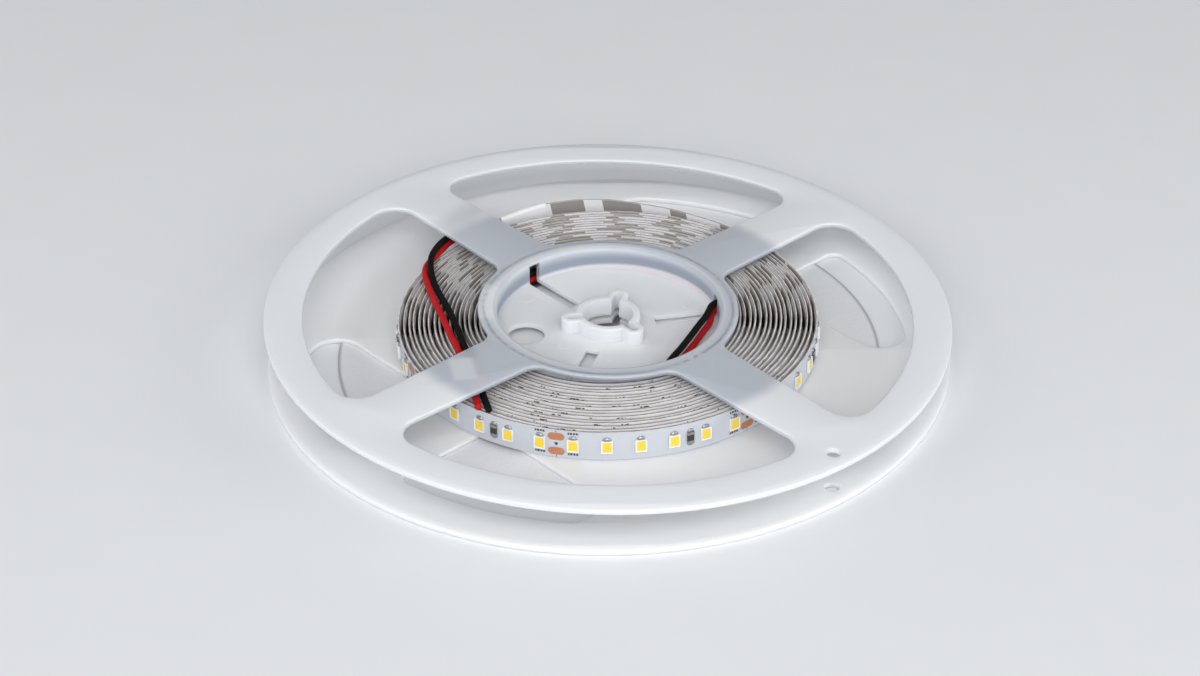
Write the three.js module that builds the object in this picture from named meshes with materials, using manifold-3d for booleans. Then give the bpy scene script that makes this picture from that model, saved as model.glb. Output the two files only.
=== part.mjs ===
// A plastic reel with a wound LED strip, lying on its lower flange. Millimetres, +Z up, and the origin is on
// the reel's axis at the resting face. Plan angles run anticlockwise from +X, seen from above.
import * as THREE from "three";
import { mergeVertices } from "three/addons/utils/BufferGeometryUtils.js";
import Module from "manifold-3d";

const wasm = await Module();
wasm.setup();

// Reel
const REEL_RADIUS = 89;
const FLANGE_THICKNESS = 1.4;
const FLANGE_GAP = 10.4;
const EDGE_CHAMFER = 0.4;
const RIM_LAP = 5;
const UPPER_TILT = THREE.MathUtils.degToRad(1.66);
const UPPER_BASE = FLANGE_THICKNESS + FLANGE_GAP;
const REEL_TOP = UPPER_BASE + FLANGE_THICKNESS;
const SPOKE_ANGLE = 42.5;
const SPOKE_WIDTH = 17;
const ROUND_STEPS = 128;

// Well
const WELL_RADIUS = 29;
const HUB_WALL = 1.2;
const HUB_COLLAR = 2.6;

// Upper windows
const UPPER_RIM_WIDTH = 10;
const HUB_RING_WIDTH = 5;
const UPPER_WINDOW_OUTER = REEL_RADIUS - UPPER_RIM_WIDTH;
const UPPER_WINDOW_INNER = WELL_RADIUS + HUB_RING_WIDTH;
const UPPER_OUTER_FILLET = 6.5;
const UPPER_INNER_FILLET = 4.5;

// Lower windows
const LOWER_RIM_WIDTH = 10.5;
const LOWER_WINDOW_OUTER = REEL_RADIUS - LOWER_RIM_WIDTH;
const LOWER_WINDOW_CHORD = 48;
const LOWER_CHORD_FILLET = 7;
const LOWER_SPOKE_FILLET = 3;

// Hub
const LIP_RADIUS = 1.2;
const FLOOR_TOP = 7.1;
const FLOOR_THICKNESS = 1.2;
const HALVES_CLEARANCE = 0.3;
const HUB_STEPS = 72;

// Arbor bore and its keys
const BORE_RADIUS = 6.6;
const BOSS_WALL = 1.8;
const BOSS_HEIGHT = 3.8;
const KEY_ANGLES = [72.5, 192.5, 312.5];
const KEY_CHANNEL = 2.2;
const KEY_WALL = 1.4;
const KEY_DEPTH = 4.4;

// Slots and holes
const SLOT_ANGLES = [12.5, 132.5, 252.5];
const SLOT_WIDTH = 3.6;
const SLOT_INNER = 12.7;
const SLOT_TOP_IN_FLANGE = 0.5;
const POST_HOLE = { radius: 4.9, distance: 21.7, angle: 192.5 };
const PIN_HOLE_INSET = 5;
const PIN_HOLE = { radius: 1.65, distance: REEL_RADIUS - PIN_HOLE_INSET, angle: 309.3 };

// Label in its recess
const LABEL_RADIUS = 71;
const LABEL_THICKNESS = 0.15;
const LABEL_BORE = 8;
const LABEL_GLUE = 0.02;
const RECESS_DEPTH = 0.3;
const RECESS_MARGIN = 1.5;

// Strip and its coil
const STRIP_WIDTH = 8;
const STRIP_THICKNESS = 0.9;
const COIL_CENTRE = { x: -0.5, y: 2 };
const COIL_LIFT = 0.1;
const COIL_PITCH = 1.32;
const COIL_HUB_GAP = 2.63;
const COIL_INNER_LINE = WELL_RADIUS + HUB_WALL + COIL_HUB_GAP;
const COIL_OUTER_LINE = 55.1;
const COIL_END_ANGLE = 119;
const COIL_TURNS = (COIL_OUTER_LINE - COIL_INNER_LINE) / COIL_PITCH;
const COIL_STEP = 7.5;
const END_TURN_STEP = 4;
const COIL_BASE = FLANGE_THICKNESS + COIL_LIFT;
const COIL_TOP = COIL_BASE + STRIP_WIDTH;

// How far the loose outer end stands off the coil: degrees back from its end, then millimetres
const END_BULGE = [
  [0, 3.2], [12, 5.7], [22, 6.2], [30, 5.4], [38, 3.8], [46, 2.8], [56, 1.6], [68, 0.8], [90, 0], [110, 0],
];

// Lights on the outermost turn
const LIGHT_PITCH = 50 / 6;
const FIRST_LIGHT = 15;
const LIGHT_COUNT = 40;
const LIGHTS_PER_SEGMENT = 6;
const LIGHT_WIDTH = 2.8;
const LIGHT_HEIGHT = 3.5;
const LIGHT_THICKNESS = 0.7;
const LIGHT_NOTCH = 0.7;
const RESISTOR_WIDTH = 1.6;
const RESISTOR_HEIGHT = 3;
const RESISTOR_THICKNESS = 0.5;
const RESISTOR_AFTER = 2;
const LENGTH_STEP = 0.1;
const SOLDER_GAP = 0.05;

// Sleeve over the outer end
const SLEEVE_WALL = 0.35;
const SLEEVE_CLEARANCE = 0.25;
const SLEEVE_STEPS = 3;
const SLEEVE_OVERHANG = 1.2;

// Leads
const CORE_RADIUS = 0.85;
const CORE_SIDES = 8;
const CORE_STEP = 4.2;

// Tape over the outer lead
const TAPE_LENGTH = 9;
const TAPE_SPAN = 8;
const TAPE_TOP_SPAN = 4.8;
const TAPE_THICKNESS = 0.2;
const TAPE_CLEARANCE = 0.3;
const TAPE_PLACE = { x: -34.6, y: -29.5, angle: 104 };

// Routes of the four cores, from the strip's end outwards
const OUTER_BLACK_ROUTE = [
  [-31.4, 51.9, 8.7], [-36.0, 48.3, 9.6], [-40.6, 43.4, 11.0], [-44.6, 36.6, 12.0], [-46.8, 30.8, 12.3],
  [-47.6, 26.3, 12.4], [-47.5, 21.9, 11.9], [-47.0, 18.9, 11.3], [-46.0, 15.0, 10.8], [-44.4, 10.1, 10.7],
  [-42.6, 5.0, 10.7], [-41.0, 0.1, 10.7], [-39.5, -4.9, 10.7], [-38.2, -9.7, 10.7], [-37.0, -14.5, 10.7],
  [-36.0, -18.5, 10.7], [-33.3, -29.0, 10.7], [-30.8, -39.2, 10.7], [-29.6, -44.0, 10.7],
];
const OUTER_RED_ROUTE = [
  [-31.4, 51.9, 6.7], [-35.8, 48.2, 7.6], [-40.8, 42.9, 9.0], [-43.3, 38.4, 10.2], [-45.1, 34.2, 10.45],
  [-46.5, 31.2, 10.5], [-47.9, 28.0, 10.5], [-48.9, 24.8, 10.6], [-48.9, 20.4, 10.7], [-47.9, 15.2, 10.7],
  [-46.6, 10.1, 10.7], [-45.1, 5.1, 10.7], [-43.5, 0.1, 10.7], [-42.1, -4.8, 10.7], [-40.7, -9.6, 10.7],
  [-39.1, -14.4, 10.7], [-37.8, -19.2, 10.7], [-35.6, -29.5, 10.7], [-32.9, -39.6, 10.7], [-32.2, -42.8, 10.7],
];
const INNER_BLACK_ROUTE = [
  [-31.7, 11.4, 8.2], [-29.8, 15.2, 8.2], [-25.6, 20.4, 8.2], [-19.6, 25.6, 8.3], [-12.7, 29.5, 8.5],
  [-4.0, 32.0, 8.7], [4.5, 31.9, 8.9], [13.0, 29.4, 9.1], [20.4, 25.0, 9.4], [26.2, 18.9, 9.6],
  [29.6, 12.1, 9.7], [30.8, 8.8, 9.7], [29.3, 6.95, 9.7], [27.3, 5.1, 9.65], [26.4, 2.6, 9.6],
  [25.2, -0.8, 9.6], [23.7, -4.0, 9.6], [20.5, -11.1, 9.6], [18.3, -15.8, 9.6], [16.6, -19.0, 9.6],
  [15.4, -21.5, 9.6],
];
const INNER_RED_ROUTE = [
  [-31.7, 11.4, 6.2], [-29.8, 15.2, 6.2], [-25.6, 20.4, 6.2], [-19.6, 25.6, 6.3], [-12.7, 29.5, 6.5],
  [-4.0, 32.0, 6.7], [4.5, 31.9, 6.9], [13.0, 29.4, 7.1], [20.4, 25.0, 7.4], [26.2, 18.9, 7.6],
  [29.6, 12.1, 7.7], [30.8, 8.8, 7.7], [29.3, 6.95, 7.7], [27.4, 5.0, 7.7], [27.0, 2.6, 7.7],
  [26.3, -0.8, 7.7], [24.9, -4.0, 7.7], [21.8, -11.1, 7.7], [19.5, -15.8, 7.7], [17.9, -19.0, 7.7],
  [16.7, -21.5, 7.7],
];

const radians = THREE.MathUtils.degToRad;

function plastic(colour, roughness) {
  return new THREE.MeshStandardMaterial({ color: colour, roughness, metalness: 0 });
}

const REEL_PLASTIC = plastic(0xdfe3e8, 0.45);
const PAPER = plastic(0xecebe6, 0.8);
const STRIP_WHITE = plastic(0xd8d6d2, 0.6);
const SLEEVE_WHITE = plastic(0xf2f2f0, 0.4);
const PHOSPHOR = plastic(0xf6d848, 0.5);
const CERAMIC = plastic(0x1c1c1e, 0.4);
const RED_JACKET = plastic(0xb40f14, 0.45);
const BLACK_JACKET = plastic(0x0c0c0c, 0.45);
const TAPE_WHITE = plastic(0xe9ecef, 0.6);

// Solids

function solidOf(geometry) {
  const bare = geometry.clone();
  bare.deleteAttribute("normal");
  bare.deleteAttribute("uv");
  const merged = mergeVertices(bare, 1e-5);
  return new wasm.Manifold(new wasm.Mesh({
    numProp: 3,
    vertProperties: new Float32Array(merged.attributes.position.array),
    triVerts: new Uint32Array(merged.index.array),
  }));
}

function geometryOf(solid) {
  const mesh = solid.getMesh();
  const geometry = new THREE.BufferGeometry();
  geometry.setAttribute("position", new THREE.BufferAttribute(mesh.vertProperties, 3));
  geometry.setIndex(new THREE.BufferAttribute(mesh.triVerts, 1));
  return geometry;
}

function slab(shape, bottom, top, steps = ROUND_STEPS) {
  const options = { depth: top - bottom, bevelEnabled: false, curveSegments: steps };
  return new THREE.ExtrudeGeometry(shape, options).translate(0, 0, bottom);
}

function chamferedSlab(shape, bottom, top, chamfer, steps) {
  const options = {
    depth: top - bottom - 2 * chamfer,
    bevelEnabled: true,
    bevelThickness: chamfer,
    bevelSize: chamfer,
    bevelOffset: -chamfer,
    bevelSegments: 1,
    curveSegments: steps,
  };
  return new THREE.ExtrudeGeometry(shape, options).translate(0, 0, bottom + chamfer);
}

// Plan outlines

function polar(radius, degrees) {
  return new THREE.Vector2(radius * Math.cos(radians(degrees)), radius * Math.sin(radians(degrees)));
}

function arc(centre, radius, fromDegrees, toDegrees, steps) {
  const points = [];
  for (let i = 0; i <= steps; i += 1) {
    const at = THREE.MathUtils.lerp(fromDegrees, toDegrees, i / steps);
    points.push(polar(radius, at).add(centre));
  }
  return points;
}

function disc(radius, steps, centre = new THREE.Vector2()) {
  return new THREE.Shape(arc(centre, radius, 0, 360, steps).slice(0, -1));
}

function ringShape(outer, inner, steps) {
  const shape = disc(outer, steps);
  shape.holes.push(disc(inner, steps));
  return shape;
}

function turned(points, degrees) {
  return points.map((point) => point.clone().rotateAround(new THREE.Vector2(), radians(degrees)));
}

function mirrored(points) {
  return points.map((point) => new THREE.Vector2(point.x, -point.y)).reverse();
}

function directionOf(point) {
  return THREE.MathUtils.radToDeg(Math.atan2(point.y, point.x));
}

// The rounded corner between a spoke's side, which runs along +X at y = side, and a circle about the axis
function cornerAtCircle(side, circle, fillet, insideCircle) {
  const reach = insideCircle ? circle - fillet : circle + fillet;
  const across = side + fillet;
  const centre = new THREE.Vector2(Math.sqrt(reach * reach - across * across), across);
  const bearing = directionOf(centre);
  const steps = Math.max(3, Math.round(fillet));
  return insideCircle
    ? arc(centre, fillet, -90, bearing, steps)
    : arc(centre, fillet, bearing - 180, -90, steps);
}

// One side of an upper window, from its inner arc out to its outer arc, with its spoke along +X
function upperWindowSide() {
  const side = SPOKE_WIDTH / 2;
  return [
    ...cornerAtCircle(side, UPPER_WINDOW_INNER, UPPER_INNER_FILLET, false),
    ...cornerAtCircle(side, UPPER_WINDOW_OUTER, UPPER_OUTER_FILLET, true),
  ];
}

function upperWindow(spokeAngle) {
  const near = upperWindowSide();
  const far = turned(mirrored(near), 90);
  const outer = arc(new THREE.Vector2(), UPPER_WINDOW_OUTER,
    directionOf(near[near.length - 1]), directionOf(far[0]), 16).slice(1, -1);
  const inner = arc(new THREE.Vector2(), UPPER_WINDOW_INNER,
    directionOf(far[far.length - 1]), directionOf(near[0]), 10).slice(1, -1);
  return new THREE.Shape(turned([...near, ...outer, ...far, ...inner], spokeAngle));
}

// A lower window lies beside a spoke along +X and is closed by a straight chord and the outer arc
function lowerWindow(spokeAngle, isMirrored) {
  const side = SPOKE_WIDTH / 2;
  const chordCorner = new THREE.Vector2(LOWER_WINDOW_CHORD + LOWER_CHORD_FILLET, 0);
  const reach = LOWER_WINDOW_OUTER - LOWER_CHORD_FILLET;
  chordCorner.y = Math.sqrt(reach * reach - chordCorner.x * chordCorner.x);
  const spokeCorner = new THREE.Vector2(LOWER_WINDOW_CHORD + LOWER_SPOKE_FILLET, side + LOWER_SPOKE_FILLET);
  const outerCorner = cornerAtCircle(side, LOWER_WINDOW_OUTER, LOWER_SPOKE_FILLET, true);
  const outline = [
    ...arc(spokeCorner, LOWER_SPOKE_FILLET, 180, 270, 4),
    ...outerCorner,
    ...arc(new THREE.Vector2(), LOWER_WINDOW_OUTER,
      directionOf(outerCorner[outerCorner.length - 1]), directionOf(chordCorner), 14).slice(1, -1),
    ...arc(chordCorner, LOWER_CHORD_FILLET, directionOf(chordCorner), 180, 7),
  ];
  return new THREE.Shape(turned(isMirrored ? mirrored(outline) : outline, spokeAngle));
}

// A flange: a chamfered web with windows, lapped by a rim whose outer edge is crisp
function flange(windows, bottom, hubOpening) {
  const webShape = disc(REEL_RADIUS - RIM_LAP / 2, ROUND_STEPS);
  webShape.holes.push(disc(hubOpening, HUB_STEPS), ...windows);
  const top = bottom + FLANGE_THICKNESS;
  const web = chamferedSlab(webShape, bottom, top, EDGE_CHAMFER, ROUND_STEPS);
  const rim = slab(ringShape(REEL_RADIUS, REEL_RADIUS - RIM_LAP, ROUND_STEPS), bottom, top);
  return solidOf(web).add(solidOf(rim));
}

function radialSlot(angle, bottom, top, inner, outer, width) {
  const outline = [
    new THREE.Vector2(inner, -width / 2),
    new THREE.Vector2(outer, -width / 2),
    new THREE.Vector2(outer, width / 2),
    new THREE.Vector2(inner, width / 2),
  ];
  return solidOf(slab(new THREE.Shape(turned(outline, angle)), bottom, top));
}

function roundHole({ radius, distance, angle }, bottom, top) {
  return solidOf(slab(disc(radius, 20, polar(distance, angle)), bottom, top));
}

// A tongue from the axis outwards with a round tip, used for the keys and their channels
function tongue(angle, width, reach, bottom, top) {
  const tip = new THREE.Vector2(reach - width / 2, 0);
  const outline = [
    new THREE.Vector2(0, -width / 2),
    ...arc(tip, width / 2, -90, 90, 6),
    new THREE.Vector2(0, width / 2),
  ];
  return solidOf(slab(new THREE.Shape(turned(outline, angle)), bottom, top));
}

// Upper half

function upperCup() {
  const wallOuter = WELL_RADIUS + HUB_WALL;
  const lipCentre = new THREE.Vector2(WELL_RADIUS + LIP_RADIUS, REEL_TOP - LIP_RADIUS);
  const profile = [
    new THREE.Vector2(0, FLOOR_TOP - FLOOR_THICKNESS),
    new THREE.Vector2(wallOuter, FLOOR_TOP - FLOOR_THICKNESS),
    new THREE.Vector2(wallOuter, UPPER_BASE),
    new THREE.Vector2(wallOuter + HUB_COLLAR, UPPER_BASE),
    new THREE.Vector2(wallOuter + HUB_COLLAR, REEL_TOP),
    ...arc(lipCentre, LIP_RADIUS, 90, 180, 3),
    new THREE.Vector2(WELL_RADIUS, FLOOR_TOP),
    new THREE.Vector2(0, FLOOR_TOP),
  ];
  return solidOf(new THREE.LatheGeometry(profile, HUB_STEPS).rotateX(Math.PI / 2));
}

function upperHalf() {
  const floorBottom = FLOOR_TOP - FLOOR_THICKNESS;
  const bossTop = FLOOR_TOP + BOSS_HEIGHT;
  const below = floorBottom - 1;
  const above = REEL_TOP + 1;
  const windows = [0, 90, 180, 270].map((turn) => upperWindow(SPOKE_ANGLE + turn));
  let body = flange(windows, UPPER_BASE, WELL_RADIUS + HUB_WALL + HUB_COLLAR / 2).add(upperCup());
  body = body.add(solidOf(slab(disc(BORE_RADIUS + BOSS_WALL, 40), floorBottom, bossTop)));
  for (const angle of KEY_ANGLES) {
    const width = KEY_CHANNEL + 2 * KEY_WALL;
    body = body.add(tongue(angle, width, BORE_RADIUS + KEY_DEPTH + KEY_WALL, floorBottom, bossTop));
  }
  body = body.subtract(solidOf(slab(disc(BORE_RADIUS, 40), below, above)));
  for (const angle of KEY_ANGLES) {
    body = body.subtract(tongue(angle, KEY_CHANNEL, BORE_RADIUS + KEY_DEPTH, below, above));
  }
  const slotOuter = WELL_RADIUS + HUB_WALL + 1;
  for (const angle of SLOT_ANGLES) {
    const slotTop = UPPER_BASE + SLOT_TOP_IN_FLANGE;
    body = body.subtract(radialSlot(angle, below, slotTop, SLOT_INNER, slotOuter, SLOT_WIDTH));
  }
  body = body.subtract(roundHole(POST_HOLE, below, above));
  body = body.subtract(roundHole(PIN_HOLE, UPPER_BASE - 1, above));
  const geometry = geometryOf(body);
  geometry.translate(0, 0, -REEL_TOP).rotateY(UPPER_TILT).translate(0, 0, REEL_TOP);
  return geometry;
}

// Lower half

// The lower floor lies under the tilted upper floor, with their clearance at the lower side
function lowerFloorTop() {
  const reach = WELL_RADIUS + HUB_WALL;
  return FLOOR_TOP - FLOOR_THICKNESS - reach * Math.tan(UPPER_TILT) - HALVES_CLEARANCE;
}

function lowerCup() {
  const wallOuter = WELL_RADIUS + HUB_WALL;
  const top = lowerFloorTop();
  const profile = [
    new THREE.Vector2(0, top - FLOOR_THICKNESS),
    new THREE.Vector2(WELL_RADIUS, top - FLOOR_THICKNESS),
    new THREE.Vector2(WELL_RADIUS, 0),
    new THREE.Vector2(wallOuter + HUB_COLLAR, 0),
    new THREE.Vector2(wallOuter + HUB_COLLAR, FLANGE_THICKNESS),
    new THREE.Vector2(wallOuter, FLANGE_THICKNESS),
    new THREE.Vector2(wallOuter, top),
    new THREE.Vector2(0, top),
  ];
  return solidOf(new THREE.LatheGeometry(profile, HUB_STEPS).rotateX(Math.PI / 2));
}

function lowerHalf() {
  const above = FLANGE_GAP;
  const windows = [0, 180].flatMap((turn) => [
    lowerWindow(SPOKE_ANGLE + turn, false),
    lowerWindow(SPOKE_ANGLE + turn, true),
  ]);
  let body = flange(windows, 0, WELL_RADIUS + HUB_WALL + HUB_COLLAR / 2).add(lowerCup());
  body = body.subtract(solidOf(slab(disc(LABEL_RADIUS + RECESS_MARGIN, 96), -1, RECESS_DEPTH)));
  body = body.subtract(solidOf(slab(disc(BORE_RADIUS, 40), -1, above)));
  for (const angle of KEY_ANGLES) {
    body = body.subtract(tongue(angle, KEY_CHANNEL, BORE_RADIUS + KEY_DEPTH, -1, above));
  }
  body = body.subtract(roundHole(PIN_HOLE, -1, above));
  return geometryOf(body);
}

function label() {
  const top = RECESS_DEPTH - LABEL_GLUE;
  return slab(ringShape(LABEL_RADIUS, LABEL_BORE, 64), top - LABEL_THICKNESS, top);
}

// Coil

function endBulge(degreesBack) {
  const next = END_BULGE.findIndex(([at]) => at > degreesBack);
  if (next < 1) {
    return next === 0 ? END_BULGE[0][1] : 0;
  }
  const [fromAt, fromSize] = END_BULGE[next - 1];
  const [toAt, toSize] = END_BULGE[next];
  return THREE.MathUtils.lerp(fromSize, toSize, (degreesBack - fromAt) / (toAt - fromAt));
}

// The strip's middle line in plan, by the degrees that it has wound back from its outer end
function coilPoint(degreesBack, offset = 0) {
  const spiral = COIL_OUTER_LINE - COIL_PITCH * degreesBack / 360;
  const radius = spiral + endBulge(degreesBack) + offset;
  const centre = new THREE.Vector2(COIL_CENTRE.x, COIL_CENTRE.y);
  return polar(radius, COIL_END_ANGLE - degreesBack).add(centre);
}

// The degrees wound back at each step of the strip: short steps on its loose outermost turn
function coilSteps() {
  const backs = [];
  for (let back = 0; back < 360; back += END_TURN_STEP) {
    backs.push(back);
  }
  for (let back = 360; back < COIL_TURNS * 360; back += COIL_STEP) {
    backs.push(back);
  }
  return backs;
}

function stripOutline(backs, halfThickness) {
  const outer = backs.map((back) => coilPoint(back, halfThickness));
  const inner = backs.map((back) => coilPoint(back, -halfThickness));
  return new THREE.Shape([...outer, ...inner.reverse()]);
}

function coil() {
  return slab(stripOutline(coilSteps(), STRIP_THICKNESS / 2), COIL_BASE, COIL_TOP);
}

// The sleeve folds over the strip's outer end, stands a little past it and rests its edges on the flange
function sleeve() {
  const overhang = THREE.MathUtils.radToDeg(SLEEVE_OVERHANG / COIL_OUTER_LINE);
  const covered = coilSteps().slice(0, SLEEVE_STEPS + 1);
  const mouth = covered[SLEEVE_STEPS] + overhang;
  const innerHalf = STRIP_THICKNESS / 2 + SLEEVE_CLEARANCE;
  const outside = stripOutline([-overhang, ...covered], innerHalf + SLEEVE_WALL);
  const inside = stripOutline([-2 * overhang, ...covered, mouth], innerHalf);
  const folded = solidOf(slab(outside, COIL_BASE, COIL_TOP + SLEEVE_CLEARANCE + SLEEVE_WALL));
  return geometryOf(folded.subtract(solidOf(slab(inside, COIL_BASE - 1, COIL_TOP + SLEEVE_CLEARANCE))));
}

// Lights and resistors

// How far back from its end, in degrees, the strip has run a given length
function backAtLength(length) {
  let back = 0;
  let travelled = 0;
  let last = coilPoint(0, STRIP_THICKNESS / 2);
  while (travelled < length) {
    back += LENGTH_STEP;
    const next = coilPoint(back, STRIP_THICKNESS / 2);
    travelled += next.distanceTo(last);
    last = next;
  }
  return back;
}

function onOuterTurn(mesh, length, thickness) {
  const back = backAtLength(length);
  const before = coilPoint(back - 1, STRIP_THICKNESS / 2);
  const after = coilPoint(back + 1, STRIP_THICKNESS / 2);
  const at = coilPoint(back, STRIP_THICKNESS / 2 + SOLDER_GAP);
  mesh.position.set(at.x, at.y, COIL_BASE + STRIP_WIDTH / 2);
  mesh.rotation.z = Math.atan2(before.y - after.y, before.x - after.x);
  mesh.geometry.translate(0, -thickness / 2, 0);
  return mesh;
}

// A package with one notched corner, standing on the strip with its face outwards along -Y
function lightGeometry() {
  const half = LIGHT_WIDTH / 2;
  const tall = LIGHT_HEIGHT / 2;
  const outline = new THREE.Shape([
    new THREE.Vector2(-half, -tall),
    new THREE.Vector2(half, -tall),
    new THREE.Vector2(half, tall - LIGHT_NOTCH),
    new THREE.Vector2(half - LIGHT_NOTCH, tall),
    new THREE.Vector2(-half, tall),
  ]);
  const body = new THREE.ExtrudeGeometry(outline, { depth: LIGHT_THICKNESS, bevelEnabled: false });
  return body.translate(0, 0, -LIGHT_THICKNESS / 2).rotateX(Math.PI / 2);
}

function lightLength(index) {
  return FIRST_LIGHT + index * LIGHT_PITCH;
}

function lights() {
  const meshes = [];
  for (let i = 0; i < LIGHT_COUNT; i += 1) {
    const mesh = named(`led_${String(i + 1).padStart(2, "0")}`, lightGeometry(), PHOSPHOR);
    meshes.push(onOuterTurn(mesh, lightLength(i), LIGHT_THICKNESS));
  }
  return meshes;
}

function resistors() {
  const meshes = [];
  for (let i = 0; i < LIGHT_COUNT - 1; i += 1) {
    if (i % LIGHTS_PER_SEGMENT !== RESISTOR_AFTER) {
      continue;
    }
    const body = new THREE.BoxGeometry(RESISTOR_WIDTH, RESISTOR_THICKNESS, RESISTOR_HEIGHT);
    const mesh = named(`resistor_${meshes.length + 1}`, body, CERAMIC);
    meshes.push(onOuterTurn(mesh, lightLength(i + 0.5), RESISTOR_THICKNESS));
  }
  return meshes;
}

// Leads and tape

function core(route) {
  const path = new THREE.CatmullRomCurve3(route.map((point) => new THREE.Vector3(...point)));
  const section = disc(CORE_RADIUS, CORE_SIDES);
  const steps = Math.round(path.getLength() / CORE_STEP);
  return new THREE.ExtrudeGeometry(section, { steps, extrudePath: path, bevelEnabled: false });
}

// A bridge of tape over the two cores, with its feet on the coil
function tape() {
  const top = COIL_TOP + 2 * (TAPE_CLEARANCE + CORE_RADIUS) + TAPE_CLEARANCE;
  const foot = COIL_TOP + TAPE_CLEARANCE;
  const half = TAPE_SPAN / 2;
  const flat = TAPE_TOP_SPAN / 2;
  const profile = new THREE.Shape([
    new THREE.Vector2(-half, foot),
    new THREE.Vector2(-half + TAPE_THICKNESS, foot),
    new THREE.Vector2(-flat, top),
    new THREE.Vector2(flat, top),
    new THREE.Vector2(half - TAPE_THICKNESS, foot),
    new THREE.Vector2(half, foot),
    new THREE.Vector2(flat, top + TAPE_THICKNESS),
    new THREE.Vector2(-flat, top + TAPE_THICKNESS),
  ]);
  const bridge = new THREE.ExtrudeGeometry(profile, { depth: TAPE_LENGTH, bevelEnabled: false });
  return bridge.translate(0, 0, -TAPE_LENGTH / 2).rotateX(Math.PI / 2);
}

function placedTape() {
  const mesh = named("lead_tape", tape(), TAPE_WHITE);
  mesh.position.set(TAPE_PLACE.x, TAPE_PLACE.y, 0);
  mesh.rotation.z = radians(TAPE_PLACE.angle - 90);
  return mesh;
}

function named(name, geometry, material) {
  const mesh = new THREE.Mesh(geometry, material);
  mesh.name = name;
  return mesh;
}

const reel = new THREE.Group();
reel.add(
  named("upper_reel_half", upperHalf(), REEL_PLASTIC),
  named("lower_reel_half", lowerHalf(), REEL_PLASTIC),
  named("reel_label", label(), PAPER),
  named("led_strip_coil", coil(), STRIP_WHITE),
  named("strip_end_sleeve", sleeve(), SLEEVE_WHITE),
  ...lights(),
  ...resistors(),
  named("outer_lead_black", core(OUTER_BLACK_ROUTE), BLACK_JACKET),
  named("outer_lead_red", core(OUTER_RED_ROUTE), RED_JACKET),
  named("inner_lead_black", core(INNER_BLACK_ROUTE), BLACK_JACKET),
  named("inner_lead_red", core(INNER_RED_ROUTE), RED_JACKET),
  placedTape(),
);

export default reel;
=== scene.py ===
"""A plastic reel wound with a white LED strip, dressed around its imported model.

Lengths are in metres in the frame's own axes. The origin is on the reel's axis at the resting face, +Z is up,
and plan angles are in degrees, anticlockwise from +X seen from above.
"""
import logging
import math
from collections.abc import Iterator, Sequence
from contextlib import contextmanager
from dataclasses import dataclass
from enum import Enum

import bpy
from mathutils import Matrix, Vector


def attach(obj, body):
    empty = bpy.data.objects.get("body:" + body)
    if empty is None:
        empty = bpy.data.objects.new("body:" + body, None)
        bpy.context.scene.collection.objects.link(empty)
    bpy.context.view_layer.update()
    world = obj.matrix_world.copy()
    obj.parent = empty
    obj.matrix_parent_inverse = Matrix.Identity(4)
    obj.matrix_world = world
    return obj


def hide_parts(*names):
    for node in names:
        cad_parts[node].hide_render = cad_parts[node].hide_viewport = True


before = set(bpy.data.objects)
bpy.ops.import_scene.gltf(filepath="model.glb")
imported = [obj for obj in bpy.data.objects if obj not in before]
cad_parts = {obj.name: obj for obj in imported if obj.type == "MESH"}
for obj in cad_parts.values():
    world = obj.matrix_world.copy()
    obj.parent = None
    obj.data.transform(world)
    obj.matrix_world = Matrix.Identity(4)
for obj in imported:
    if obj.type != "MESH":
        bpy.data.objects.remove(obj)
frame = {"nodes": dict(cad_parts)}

LOG = logging.getLogger("led_reel")
MM = 0.001
BODY = "root"
# How much of the strip counts as its outermost turn
OUTER_TURN = 360 * MM
AXIS = Vector((0, 0))

Colour = tuple[float, float, float]
Pair = tuple[float, float]
Outline = list[Vector]


# Plan outlines


def polar(radius: float, degrees: float) -> Vector:
    """Return the plan point at a radius and an angle about the axis."""
    return Vector((radius * math.cos(math.radians(degrees)), radius * math.sin(math.radians(degrees))))


def arc(centre: Vector, radius: float, start: float, end: float, steps: int) -> Outline:
    """Return the points of an arc.

    Args:
        centre: The arc's centre in plan.
        radius: The arc's radius.
        start: The angle of its first point, in degrees.
        end: The angle of its last point, in degrees.
        steps: How many chords it has.

    Returns:
        Its points, both ends included.
    """
    return [centre + polar(radius, start + (end - start) * i / steps) for i in range(steps + 1)]


def circle(radius: float, steps: int, centre: Vector = AXIS) -> Outline:
    """Return a closed circle's points, the last one left out."""
    return arc(centre, radius, 0, 360, steps)[:-1]


def rectangle(left: float, right: float, low: float, high: float) -> Outline:
    """Return a rectangle's corners, anticlockwise."""
    return [Vector(corner) for corner in ((left, low), (right, low), (right, high), (left, high))]


def moved(points: Outline, up: float) -> Outline:
    """Return the points moved along Y."""
    return [point + Vector((0, up)) for point in points]


def turned(points: Outline, degrees: float) -> Outline:
    """Return the points turned about the axis."""
    turn = Matrix.Rotation(math.radians(degrees), 2)
    return [turn @ point for point in points]


def mirrored(points: Outline) -> Outline:
    """Return the points mirrored in the X axis, in the other order so that they still run anticlockwise."""
    return [Vector((point.x, -point.y)) for point in reversed(points)]


def bearing(point: Vector) -> float:
    """Return a plan point's angle about the axis, in degrees."""
    return math.degrees(math.atan2(point.y, point.x))


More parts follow.
